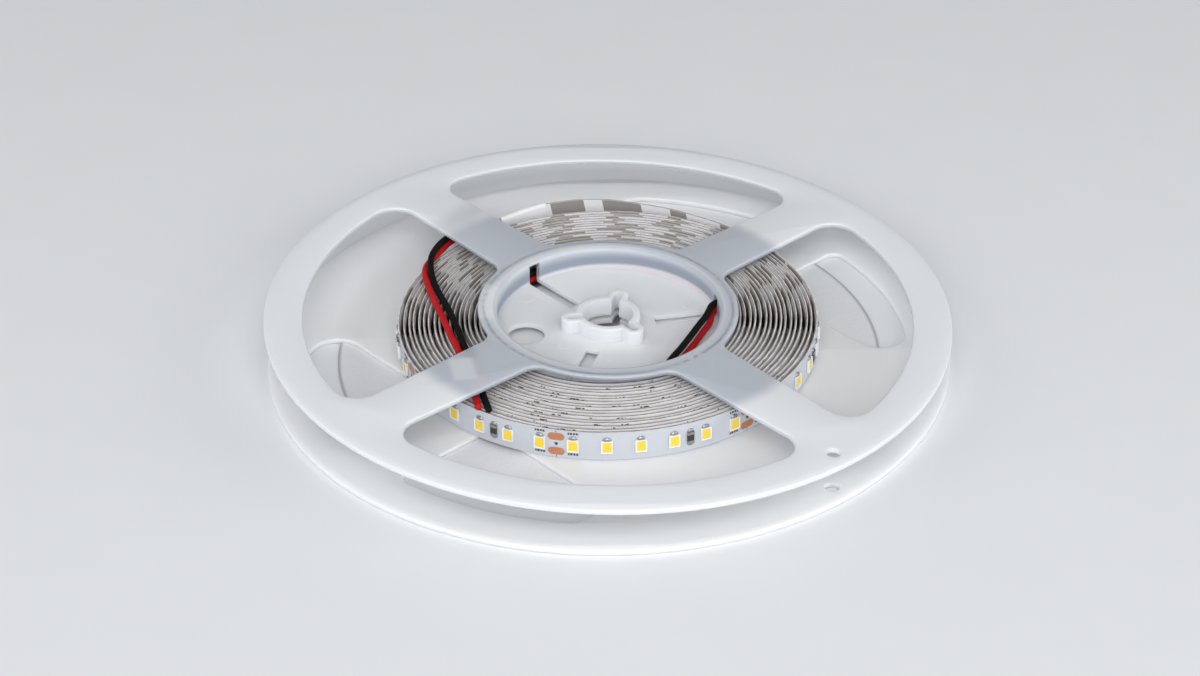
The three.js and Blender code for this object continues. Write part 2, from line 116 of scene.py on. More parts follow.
def corner_at_circle(side: float, ring: float, fillet: float, inside: bool, steps: int = 10) -> Outline:
    """Return the rounded corner between a line along X at a height and a circle about the axis.

    Args:
        side: The line's distance from the X axis.
        ring: The circle's radius.
        fillet: The corner's radius.
        inside: Whether the corner lies inside the circle.
        steps: How many chords it has.

    Returns:
        The corner's points, from the line out when it lies inside the circle, and else from the circle.
    """
    reach = ring - fillet if inside else ring + fillet
    across = side + fillet
    centre = Vector((math.sqrt(reach * reach - across * across), across))
    at = bearing(centre)
    return arc(centre, fillet, -90, at, steps) if inside else arc(centre, fillet, at - 180, -90, steps)


# Modelling


def deselect() -> None:
    """Leave nothing selected."""
    bpy.ops.object.select_all(action="DESELECT")


def select_only(piece: bpy.types.Object) -> None:
    """Select one object and make it active."""
    deselect()
    piece.select_set(True)
    bpy.context.view_layer.objects.active = piece


@contextmanager
def editing(piece: bpy.types.Object, everything: bool = True) -> Iterator[None]:
    """Hold an object in edit mode for a with block, with all of its mesh selected or what already was."""
    select_only(piece)
    bpy.ops.object.mode_set(mode="EDIT")
    if everything:
        bpy.ops.mesh.select_all(action="SELECT")
    yield
    bpy.ops.object.mode_set(mode="OBJECT")


def clean(piece: bpy.types.Object, distance: float = 0.002 * MM) -> None:
    """Merge an object's doubled vertices and turn its faces outwards."""
    with editing(piece):
        bpy.ops.mesh.remove_doubles(threshold=distance)
        bpy.ops.mesh.normals_make_consistent(inside=False)


def new_object(name: str, data: bpy.types.ID) -> bpy.types.Object:
    """Return a new object in the scene that holds a mesh, a curve, a camera or a lamp."""
    piece = bpy.data.objects.new(name, data)
    bpy.context.scene.collection.objects.link(piece)
    return piece


def mesh_piece(name: str, points: Sequence[Sequence[float]], edges: list, faces: list) -> bpy.types.Object:
    """Return a new object with the given vertices, edges and faces."""
    mesh = bpy.data.meshes.new(name)
    mesh.from_pydata([tuple(point) for point in points], edges, faces)
    return new_object(name, mesh)


def apply_modifier(piece: bpy.types.Object, kind: str, **settings: object) -> None:
    """Add a modifier with the given settings and apply it."""
    select_only(piece)
    modifier = piece.modifiers.new(kind.lower(), kind)
    for key, value in settings.items():
        setattr(modifier, key, value)
    bpy.ops.object.modifier_apply(modifier=modifier.name)


class Join(Enum):
    """How one solid works on another."""

    ADD = "UNION"
    CUT = "DIFFERENCE"


def combine(piece: bpy.types.Object, tool: bpy.types.Object, how: Join) -> None:
    """Add a solid to a piece or cut it from the piece, and remove the solid."""
    apply_modifier(piece, "BOOLEAN", operation=how.value, object=tool, solver="EXACT")
    bpy.data.objects.remove(tool)


def bake_place(piece: bpy.types.Object) -> None:
    """Move an object's place, turn and scale into its mesh."""
    select_only(piece)
    bpy.ops.object.transform_apply(location=True, rotation=True, scale=True)


def smooth(piece: bpy.types.Object, degrees: float = 32) -> None:
    """Shade an object smooth, but for its edges sharper than an angle."""
    select_only(piece)
    bpy.ops.object.shade_smooth_by_angle(angle=math.radians(degrees))


def plate(name: str, outlines: list[Outline], bottom: float, top: float, rounding: float = 0.0,
          rounding_steps: int = 3) -> bpy.types.Object:
    """Return a flat plate whose edges are rounded.

    Args:
        name: The object's name.
        outlines: The plate's outline, and then its holes.
        bottom: The height of its lower face.
        top: The height of its upper face.
        rounding: The radius of all its edges.
        rounding_steps: How finely the edges are rounded.

    Returns:
        The plate, as a closed mesh.
    """
    flat = bpy.data.curves.new(name, "CURVE")
    flat.dimensions = "2D"
    flat.fill_mode = "BOTH"
    for outline in outlines:
        spline = flat.splines.new("POLY")
        spline.points.add(len(outline) - 1)
        for point, place in zip(spline.points, outline):
            point.co = (place.x, place.y, 0, 1)
        spline.use_cyclic_u = True
    flat.extrude = (top - bottom) / 2 - rounding
    flat.bevel_depth = rounding
    flat.bevel_resolution = rounding_steps
    flat.offset = -rounding
    piece = new_object(name, flat)
    piece.location.z = (top + bottom) / 2
    select_only(piece)
    bpy.ops.object.convert(target="MESH")
    bake_place(piece)
    clean(piece)
    return piece


def turned_solid(name: str, profile: list[tuple[float, float]], steps: int) -> bpy.types.Object:
    """Return the solid that a closed profile of radius and height makes when it is spun about the axis."""
    points = [(radius, 0, height) for radius, height in profile]
    edges = [(i, (i + 1) % len(points)) for i in range(len(points))]
    piece = mesh_piece(name, points, edges, [])
    with editing(piece):
        bpy.ops.mesh.spin(steps=steps, angle=math.tau, center=(0, 0, 0), axis=(0, 0, 1))
    clean(piece)
    return piece


def quarter(radius_at: float, height_at: float, fillet: float, start: float, end: float,
            steps: int = 5) -> list[tuple[float, float]]:
    """Return a rounded corner of a turned profile, as radius and height."""
    return [tuple(p) for p in arc(Vector((radius_at, height_at)), fillet, start, end, steps)]


def select_facing(piece: bpy.types.Object, direction: Vector) -> None:
    """Select only the faces of an object that face one way."""
    for vertex in piece.data.vertices:
        vertex.select = False
    for edge in piece.data.edges:
        edge.select = False
    for face in piece.data.polygons:
        face.select = face.normal.dot(direction) > 0.99


def block(name: str, size: Vector, centre: Vector, rounding: float) -> bpy.types.Object:
    """Return a box at a place whose edges are rounded."""
    deselect()
    bpy.ops.mesh.primitive_cube_add(size=1, location=centre, scale=size)
    piece = bpy.context.active_object
    piece.name = name
    bake_place(piece)
    if rounding:
        with editing(piece):
            bpy.ops.mesh.bevel(offset=rounding, segments=2, affect="EDGES")
    return piece


def bead(scale: Sequence[float], centre: Sequence[float]) -> bpy.types.Object:
    """Return a smooth drop of solder, as a stretched ball."""
    deselect()
    bpy.ops.mesh.primitive_uv_sphere_add(segments=16, ring_count=8, radius=1)
    drop = bpy.context.active_object
    drop.scale = scale
    drop.location = centre
    bake_place(drop)
    smooth(drop)
    return drop


def join(name: str, parts: list[bpy.types.Object]) -> bpy.types.Object:
    """Join several objects into one, which gets the name."""
    deselect()
    for part in parts:
        part.select_set(True)
    bpy.context.view_layer.objects.active = parts[0]
    bpy.ops.object.join()
    parts[0].name = name
    return parts[0]


def give(piece: bpy.types.Object, *materials: bpy.types.Material) -> None:
    """Put materials in an object's slots, in place of what it has."""
    piece.data.materials.clear()
    for material in materials:
        piece.data.materials.append(material)


def paint(piece: bpy.types.Object, index: int) -> None:
    """Give all of an object's faces one of its materials."""
    for face in piece.data.polygons:
        face.material_index = index


def hand_over(piece: bpy.types.Object, slot: str, *nodes: str) -> bpy.types.Object:
    """Let a finished piece ride with the reel and hide what it stands for."""
    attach(piece, BODY)
    if nodes:
        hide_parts(*nodes)
    LOG.info("made %s", piece.name)
    return piece


# Finishes


class Graph:
    """One material's node tree, built a node at a time."""

    def __init__(self, name: str) -> None:
        """Start a material with only its surface shader."""
        self.material = bpy.data.materials.new(name)
        self.material.use_nodes = True
        self.tree = self.material.node_tree
        self.shader = next(n for n in self.tree.nodes if n.type == "BSDF_PRINCIPLED")

    def add(self, kind: str, inputs: dict | None = None, **settings: object) -> bpy.types.Node:
        """Add a node.

        Args:
            kind: The node's type name.
            inputs: A value or an output for each input, by name or number.
            settings: The node's own properties.

        Returns:
            The node.
        """
        node = self.tree.nodes.new(kind)
        for key, value in settings.items():
            setattr(node, key, value)
        for key, value in (inputs or {}).items():
            self.feed(node.inputs[key], value)
        return node

    def feed(self, socket: bpy.types.NodeSocket, value: object) -> None:
        """Link an output to a socket, or set the socket's value."""
        if isinstance(value, bpy.types.NodeSocket):
            self.tree.links.new(value, socket)
        else:
            socket.default_value = value

    def surface(self, **values: object) -> None:
        """Set or link the shader's inputs, their names written with underscores."""
        for key, value in values.items():
            self.feed(self.shader.inputs[key.replace("_", " ")], value)

    def place(self) -> bpy.types.NodeSocket:
        """Return the object coordinates."""
        return self.add("ShaderNodeTexCoord").outputs["Object"]

    def attribute(self, name: str) -> bpy.types.NodeSocket:
        """Return a number that the mesh holds at each point."""
        return self.add("ShaderNodeAttribute", attribute_name=name).outputs["Fac"]

    def math(self, operation: str, a: object, b: object = 0.0) -> bpy.types.NodeSocket:
        """Return the result of a sum on one or two numbers."""
        return self.add("ShaderNodeMath", {0: a, 1: b}, operation=operation).outputs[0]

    def ramp(self, value: object, low: float, high: float, start: float = 0.0,
             end: float = 1.0) -> bpy.types.NodeSocket:
        """Return a number that goes smoothly from start to end as value goes from low to high."""
        inputs = {"Value": value, "From Min": low, "From Max": high, "To Min": start, "To Max": end}
        return self.add("ShaderNodeMapRange", inputs, interpolation_type="SMOOTHSTEP").outputs["Result"]

    def noise(self, vector: object, scale: float, detail: float = 3.0) -> bpy.types.NodeSocket:
        """Return a soft noise between 0 and 1."""
        inputs = {"Vector": vector, "Scale": scale, "Detail": detail}
        return self.add("ShaderNodeTexNoise", inputs).outputs["Fac"]

    def mix(self, amount: object, first: object, second: object) -> bpy.types.NodeSocket:
        """Return a colour between two."""
        node = self.add("ShaderNodeMix", data_type="RGBA")
        sockets = [s for s in node.inputs if s.enabled]
        for socket, value in zip(sockets, (amount, first, second)):
            self.feed(socket, (*value, 1.0) if isinstance(value, tuple) and len(value) == 3 else value)
        return next(s for s in node.outputs if s.enabled)

    def product(self, first: object, *others: object) -> object:
        """Return the product of several numbers."""
        for other in others:
            first = self.math("MULTIPLY", first, other)
        return first

    def over(self, colour: object, paint: Colour, *amounts: object) -> bpy.types.NodeSocket:
        """Return a colour with another over it, as strong as the product of some numbers."""
        return self.mix(self.product(*amounts), colour, paint)

    def chance(self, seed: object) -> bpy.types.NodeSocket:
        """Return a number between 0 and 1 that a seed picks."""
        return self.add("ShaderNodeTexWhiteNoise", {"W": seed}, noise_dimensions="1D").outputs["Value"]

    def coordinates(self) -> list[bpy.types.NodeSocket]:
        """Return the object coordinates as three numbers."""
        return list(self.add("ShaderNodeSeparateXYZ", {0: self.place()}).outputs)

    def height(self) -> bpy.types.NodeSocket:
        """Return the height above the resting face."""
        return self.coordinates()[2]

    def plan_distance(self, centre: tuple[float, float]) -> bpy.types.NodeSocket:
        """Return the distance from an upright axis through a plan point."""
        offset = self.add("ShaderNodeVectorMath", {0: self.place(), 1: (*centre, 0)}, operation="SUBTRACT")
        flat = self.add("ShaderNodeVectorMath", {0: offset.outputs[0], 1: (1, 1, 0)}, operation="MULTIPLY")
        return self.add("ShaderNodeVectorMath", {0: flat.outputs[0]}, operation="LENGTH").outputs["Value"]

    def bump(self, height: object, strength: float, distance: float) -> None:
        """Give the surface a bump."""
        inputs = {"Height": height, "Strength": strength, "Distance": distance}
        self.surface(Normal=self.add("ShaderNodeBump", inputs).outputs["Normal"])


def between(graph: Graph, value: object, low: float, high: float, soft: float) -> bpy.types.NodeSocket:
    """Return 1 where a number is between two bounds and 0 outside, with soft edges."""
    rising = graph.ramp(value, low - soft, low + soft)
    falling = graph.ramp(value, high - soft, high + soft, 1.0, 0.0)
    return graph.product(rising, falling)


def near_line(graph: Graph, start: tuple[float, float], end: tuple[float, float], radius: float,
              soft: float) -> bpy.types.NodeSocket:
    """Return 1 near a line in plan and 0 further off.

    Args:
        graph: The material's graph.
        start: The line's first plan point.
        end: Its last plan point.
        radius: How far the mark reaches from the line.
        soft: Half the width of the mark's edge.

    Returns:
        The mark.
    """
    along = Vector(end) - Vector(start)
    length = along.length
    direction = along / length
    offset = graph.add("ShaderNodeVectorMath", {0: graph.place(), 1: (*start, 0)}, operation="SUBTRACT")
    run = graph.add("ShaderNodeVectorMath", {0: offset.outputs[0], 1: (*direction, 0)},
                    operation="DOT_PRODUCT").outputs["Value"]
    side = graph.add("ShaderNodeVectorMath", {0: offset.outputs[0], 1: (-direction.y, direction.x, 0)},
                     operation="DOT_PRODUCT").outputs["Value"]
    across = graph.ramp(graph.math("ABSOLUTE", side), radius - soft, radius + soft, 1.0, 0.0)
    return graph.product(across, between(graph, run, 0, length, soft))


def gap_shade_amount(graph: Graph) -> bpy.types.NodeSocket:
    """Return the strength of the painted shade deep between two turns of the coil, from 0 at the top to 0.9.
    """
    wound = graph.math("GREATER_THAN", graph.attribute("along"), OUTER_TURN)
    height = graph.height()
    return graph.product(wound, graph.ramp(height, 5.0 * MM, 8.8 * MM, 0.9, 0.0))


@dataclass(frozen=True)
class PaintedShowThrough:
    """A soft mark along a line in plan, in millimetres, of painted shade and light where something lies close
    under the plastic.
    """

    start: tuple[float, float]
    end: tuple[float, float]
    radius: float
    soft: float
    strength: float
    colour: Colour

    def on(self, graph: Graph, colour: object, where: object) -> bpy.types.NodeSocket:
        """Return a colour with the mark on it, but only where a number is 1."""
        start, end = (tuple(axis * MM for axis in point) for point in (self.start, self.end))
        mark = near_line(graph, start, end, self.radius * MM, self.soft * MM)
        return graph.over(colour, self.colour, mark, where, self.strength)


# Painted shade of the black lead beside the tape, painted shade of the loose end and the leads under the
# back-left spoke, painted light over the tape, and a painted pink glow of the red lead
PAINTED_SHOW_THROUGH = (
    PaintedShowThrough((-36.2, -19.5), (-34.4, -26.0), 1.6, 1.5, 0.35, (0.25, 0.25, 0.28)),
    PaintedShowThrough((-34.0, 53.0), (-46.5, 36.0), 4.0, 3.5, 0.55, (0.52, 0.54, 0.59)),
    PaintedShowThrough((-37.4, -26.2), (-35.4, -35.6), 2.9, 0.9, 0.6, (0.72, 0.75, 0.79)),
    PaintedShowThrough((-32.6, -34.8), (-31.6, -38.6), 1.3, 1.3, 0.3, (0.75, 0.50, 0.56)),
)


@dataclass(frozen=True)
class ReelPlastic:
    """White moulded plastic, thin enough for what lies close under it to show."""

    name: str
    white: Colour = (0.79, 0.81, 0.835)
    shaded: Colour = (0.46, 0.495, 0.555)
    roughness: float = 0.42
    translucency: float = 0.7
    depth: float = 3.0 * MM

    def graph(self) -> Graph:
        """Return the material's graph with its moulded surface."""
        graph = Graph(self.name)
        graph.surface(Roughness=self.roughness, IOR=1.5, Subsurface_Weight=self.translucency,
                      Subsurface_Radius=(1.0, 1.0, 1.0), Subsurface_Scale=self.depth)
        fine = graph.noise(graph.place(), 900)
        broad = graph.noise(graph.place(), 28, 1)
        height = graph.math("ADD", graph.product(fine, 0.02), broad)
        graph.bump(height, 0.12, 0.0006)
        return graph


@dataclass(frozen=True)
class PlainFinish:
    """A finish of one colour with a fine mottle and a fine bump."""

    name: str
    colour: Colour
    roughness: float
    metallic: float = 0.0
    mottle: float = 0.06
    scale: float = 700.0
    bump: float = 0.1
    specular: float = 0.5

    def material(self) -> bpy.types.Material:
        """Return the finish as a material."""
        graph = Graph(self.name)
        graph.surface(Roughness=self.roughness, Metallic=self.metallic, Specular_IOR_Level=self.specular)
        grain = graph.noise(graph.place(), self.scale)
        darker = tuple((1 - self.mottle) * c for c in self.colour)
        graph.surface(Base_Color=graph.mix(graph.ramp(grain, 0.3, 0.7), self.colour, darker))
        graph.bump(grain, self.bump, 0.0001)
        return graph.material

    def once(self) -> bpy.types.Material:
        """Return the material, made the first time that it is asked for."""
        return bpy.data.materials.get(self.name) or self.material()


@dataclass(frozen=True)
class BackingPrint:
    """White backing paper with plain taupe blocks printed across it, and painted shade deep between the
    turns.
    """

    name: str = "backing_paper"
    paper: Colour = (0.82, 0.81, 0.83)
    # The colour of the painted shade deep between the turns
    painted_gap_shade: Colour = (0.05, 0.045, 0.04)
    ink: Colour = (0.25, 0.225, 0.205)
    pitch: float = 15.5 * MM
    first: float = 4.8 * MM
    top: float = 9.4 * MM
    bottom: float = 1.9 * MM
    lean: float = 12.0
    half_widths: Pair = (0.11, 0.36)
    shift: float = 0.17
    strength: float = 0.9
    turn_seed: float = 31.7
    shift_seed: float = 0.41
    soft: float = 0.08 * MM

    def material(self) -> bpy.types.Material:
        """Return the paper as a material that reads each turn's number."""
        graph = Graph(self.name)
        graph.surface(Roughness=0.7)
        east, north, height = graph.coordinates()
        run = graph.product(graph.math("ARCTAN2", east, north), graph.plan_distance((0, 0)))
        steps = graph.math("DIVIDE", graph.math("SUBTRACT", run, self.first), self.pitch)
        cell = graph.math("ROUND", steps)
        turn = graph.product(graph.math("ROUND", graph.attribute("turn")), self.turn_seed)
        seed = graph.math("ADD", turn, cell)
        half = graph.ramp(graph.chance(seed), 0, 1, *self.half_widths)
        shift = graph.chance(graph.math("ADD", seed, self.shift_seed))
        shift = graph.ramp(shift, 0, 1, -self.shift, self.shift)
        lean = graph.product(graph.math("SUBTRACT", height, self.bottom), self.lean)
        centre = graph.math("ADD", cell, graph.math("SUBTRACT", shift, lean))
        inked = graph.math("LESS_THAN", graph.math("ABSOLUTE", graph.math("SUBTRACT", steps, centre)), half)
        tall = between(graph, height, self.bottom, self.top, self.soft)
        colour = graph.over(self.paper, self.ink, inked, tall, self.strength)
        # Painted shade deep between the wound turns
        graph.surface(Base_Color=graph.mix(gap_shade_amount(graph), colour, self.painted_gap_shade))
        return graph.material


# Camera, floor and light


@dataclass(frozen=True)
class Viewpoint:
    """The photograph's camera: a long lens that looks down on the reel from the front."""

    distance: float = 0.63158
    elevation: float = 32.868
    roll: float = -0.786
    target: tuple[float, float, float] = (-0.00226, 0.0, 0.00309)
    lens: float = 72.0
    sensor: float = 36.0

    def place(self) -> None:
        """Put the camera where the photograph was taken."""
        tilt = math.radians(self.elevation)
        turn = math.radians(self.roll)
        eye = Vector((0, -self.distance * math.cos(tilt), self.distance * math.sin(tilt)))
        ahead = (Vector(self.target) - eye).normalized()
        right = ahead.cross(Vector((0, 0, 1))).normalized()
        over = right.cross(ahead)
        level_right = math.cos(turn) * right + math.sin(turn) * over
        level_up = math.cos(turn) * over - math.sin(turn) * right
        camera = new_object("photo_camera", bpy.data.cameras.new("photo_camera"))
        camera.data.lens = self.lens
        camera.data.sensor_width = self.sensor
        camera.data.sensor_fit = "HORIZONTAL"
        camera.data.clip_start = 0.01
        columns = Matrix((level_right, level_up, -ahead)).transposed().to_4x4()
        camera.matrix_world = Matrix.Translation(eye) @ columns
        bpy.context.scene.camera = camera


@dataclass(frozen=True)
class Lamp:
    """A square area lamp that faces the reel."""

    name: str
    place: tuple[float, float, float]
    size: float
    power: float

    def hang(self) -> None:
        """Hang the lamp."""
        data = bpy.data.lights.new(self.name, "AREA")
        data.energy = self.power
        data.size = self.size
        lamp = new_object(self.name, data)
        lamp.location = self.place
        lamp.rotation_euler = (-lamp.location).to_track_quat("-Z", "Y").to_euler()


@dataclass(frozen=True)
class Studio:
    """A pale floor under a large soft lamp in front and two at the sides."""

    floor_colour: Colour = (0.80, 0.815, 0.83)
    sky_ahead: Colour = (0.13, 0.133, 0.137)
    sky_behind: Colour = (0.66, 0.668, 0.675)
    sky_turn: float = 0.8
    lamps: tuple[Lamp, ...] = (
        Lamp("key_lamp", (0.0, -1.15, 0.9), 1.2, 13.5),
        Lamp("left_lamp", (-1.2, -0.2, 0.7), 0.8, 3.2),
        Lamp("right_lamp", (1.2, -0.4, 0.48), 0.8, 5.0),
    )

    def floor(self) -> None:
        """Lay the floor."""
        deselect()
        bpy.ops.mesh.primitive_plane_add(size=8, location=(0, 0, -0.05 * MM))
        ground = bpy.context.active_object
        ground.name = "studio_floor"
        finish = PlainFinish("studio_floor", self.floor_colour, 0.6, mottle=0.01, scale=40, bump=0.0)
        give(ground, finish.material())

    def light(self) -> None:
        """Light the scene, with a sky that is brighter behind the camera, and keep colours plain."""
        world = bpy.data.worlds.new("studio")
        world.use_nodes = True
        nodes, links = world.node_tree.nodes, world.node_tree.links
        background = next(n for n in nodes if n.type == "BACKGROUND")
        direction = nodes.new("ShaderNodeTexCoord")
        parts = nodes.new("ShaderNodeSeparateXYZ")
        blend = nodes.new("ShaderNodeMapRange")
        blend.inputs["From Min"].default_value = -self.sky_turn
        blend.inputs["From Max"].default_value = self.sky_turn
        shade = nodes.new("ShaderNodeMix")
        shade.data_type = "RGBA"
        near, far = [socket for socket in shade.inputs if socket.type == "RGBA"]
        near.default_value = (*self.sky_behind, 1)
        far.default_value = (*self.sky_ahead, 1)
        links.new(direction.outputs["Generated"], parts.inputs[0])
        links.new(parts.outputs["Y"], blend.inputs["Value"])
        links.new(blend.outputs["Result"], shade.inputs["Factor"])
        links.new(next(s for s in shade.outputs if s.type == "RGBA"), background.inputs["Color"])
        bpy.context.scene.world = world
        for lamp in self.lamps:
            lamp.hang()
        bpy.context.scene.view_settings.view_transform = "Standard"


# The strip's route, which the coil, the sleeve and all that is soldered to it share


@dataclass(frozen=True)
class StripRoute:
    """The spiral that the strip follows, measured back from its outer end in degrees."""

    centre: tuple[float, float] = (-0.5 * MM, 2.0 * MM)
    end_angle: float = 119.0
    end_radius: float = 55.1 * MM
    pitch: float = 1.32 * MM
    turns: float = 16.87
    half_thickness: float = 0.45 * MM
    bottom: float = 1.5 * MM
    top: float = 9.5 * MM
    bulge: tuple[tuple[float, float], ...] = (
        (0, 3.2), (12, 5.7), (22, 6.2), (30, 5.4), (38, 3.8), (46, 2.8), (56, 1.6), (68, 0.8), (90, 0),
    )
    first_light: float = 15.0 * MM
    light_pitch: float = 50.0 / 6 * MM
    lights: int = 40

    def bulge_at(self, back: float) -> float:
        """Return how far the loose end stands off the coil."""
        if back <= 0:
            return self.bulge[0][1] * MM
        for (from_at, from_size), (to_at, to_size) in zip(self.bulge, self.bulge[1:]):
            if from_at <= back < to_at:
                return (from_size + (to_size - from_size) * (back - from_at) / (to_at - from_at)) * MM
        return 0.0

    def point(self, back: float, offset: float = 0.0) -> Vector:
        """Return the plan point at some degrees back from the end and some way outside the middle line."""
        radius = self.end_radius - self.pitch * back / 360 + self.bulge_at(back) + offset
        return Vector(self.centre) + polar(radius, self.end_angle - back)

    def back_at(self, length: float) -> float:
        """Return how many degrees back from the end the strip has run a given length."""
        back, travelled = 0.0, 0.0
        last = self.point(0, self.half_thickness)
        while travelled < length:
            back += 0.1
            ahead = self.point(back, self.half_thickness)
            travelled += (ahead - last).length
            last = ahead
        return back

    def seat(self, length: float, lift: float = 0.0) -> Matrix:
        """Return the place on the strip's outer face at a length from its end.

        Args:
            length: How far from the strip's outer end the place is.
            lift: How far outside the face it is.

        Returns:
            The place, with X along the strip, Y into it and Z up from the strip's middle.
        """
        back = self.back_at(length)
        at = self.point(back, self.half_thickness + lift)
        along = self.point(back - 1, self.half_thickness) - self.point(back + 1, self.half_thickness)
        turn = Matrix.Rotation(math.atan2(along.y, along.x), 4, "Z")
        return Matrix.Translation((at.x, at.y, (self.top + self.bottom) / 2)) @ turn

    def light_at(self, index: float) -> float:
        """Return how far from the strip's end a light is."""
        return self.first_light + index * self.light_pitch


# Reel halves


@dataclass(frozen=True)
class Reel:
    """What the two moulded halves share."""

    radius: float = 89.0 * MM
    flange: float = 1.4 * MM
    gap: float = 10.4 * MM
    rim_lap: float = 4.0 * MM
    crisp: float = 0.12 * MM
    spoke_angle: float = 42.5
    spoke_width: float = 17.0 * MM
    well_radius: float = 29.0 * MM
    hub_wall: float = 1.2 * MM
    hub_collar: float = 2.6 * MM
    floor_top: float = 7.1 * MM
    floor_thickness: float = 1.2 * MM
    bore: float = 6.6 * MM
    key_angles: tuple[float, ...] = (72.5, 192.5, 312.5)
    key_channel: float = 2.2 * MM
    key_reach: float = 11.0 * MM
    pin_hole: float = 1.85 * MM
    pin_distance: float = 84.0 * MM
    pin_angle: float = 309.3
    tilt: float = 1.66
    round_steps: int = 256

    @property
    def top(self) -> float:
        """Return the height of the upper flange's upper face on the axis."""
        return 2 * self.flange + self.gap

    @property
    def wall(self) -> float:
        """Return the outer radius of the hub's wall."""
        return self.well_radius + self.hub_wall

    @property
    def floor_bottom(self) -> float:
        """Return the height of the lower face of the well's floor."""
        return self.floor_top - self.floor_thickness

    def keyed_outline(self, radius: float, width: float, reach: float) -> Outline:
        """Return a circle with a round-tipped tongue at each key.

        Args:
            radius: The circle's radius.
            width: The tongues' width.
            reach: How far from the axis their tips are.

        Returns:
            The outline, anticlockwise.
        """
        half = width / 2
        root = math.degrees(math.asin(half / radius))
        points = []
        for key, following in zip(self.key_angles, (*self.key_angles[1:], self.key_angles[0] + 360)):
            points += turned(arc(Vector((reach - half, 0)), half, -90, 90, 12), key)
            points += arc(AXIS, radius, key + root, following - root, 24)
        return points

    def add_flange(self, half: bpy.types.Object, windows: list[Outline], bottom: float,
                   rounding: float) -> None:
        """Add a flange with a crisp rim and rounded windows to a half's hub.

        Args:
            half: The half, so far without its flange.
            windows: The windows' outlines.
            bottom: The height of the flange's lower face.
            rounding: The radius of the windows' edges.
        """
        top = bottom + self.flange
        opening = self.wall + self.hub_collar / 2
        web = [circle(self.radius - self.rim_lap / 2, self.round_steps), circle(opening, self.round_steps)]
        flange = plate("flange", web + windows, bottom, top, rounding)
        rim = [circle(self.radius, self.round_steps), circle(self.radius - self.rim_lap, self.round_steps)]
        combine(flange, plate("rim", rim, bottom, top, self.crisp, 1), Join.ADD)
        combine(half, flange, Join.ADD)

    def cut_bore(self, piece: bpy.types.Object, bottom: float, top: float) -> None:
        """Cut the keyed bore."""
        bore = self.keyed_outline(self.bore, self.key_channel, self.key_reach)
        combine(piece, plate("bore", [bore], bottom, top), Join.CUT)

    def drill(self, piece: bpy.types.Object, radius: float, distance: float, angle: float, bottom: float,
              top: float) -> None:
        """Cut a round upright hole."""
        hole = plate("hole", [circle(radius, 48, polar(distance, angle))], bottom, top)
        combine(piece, hole, Join.CUT)


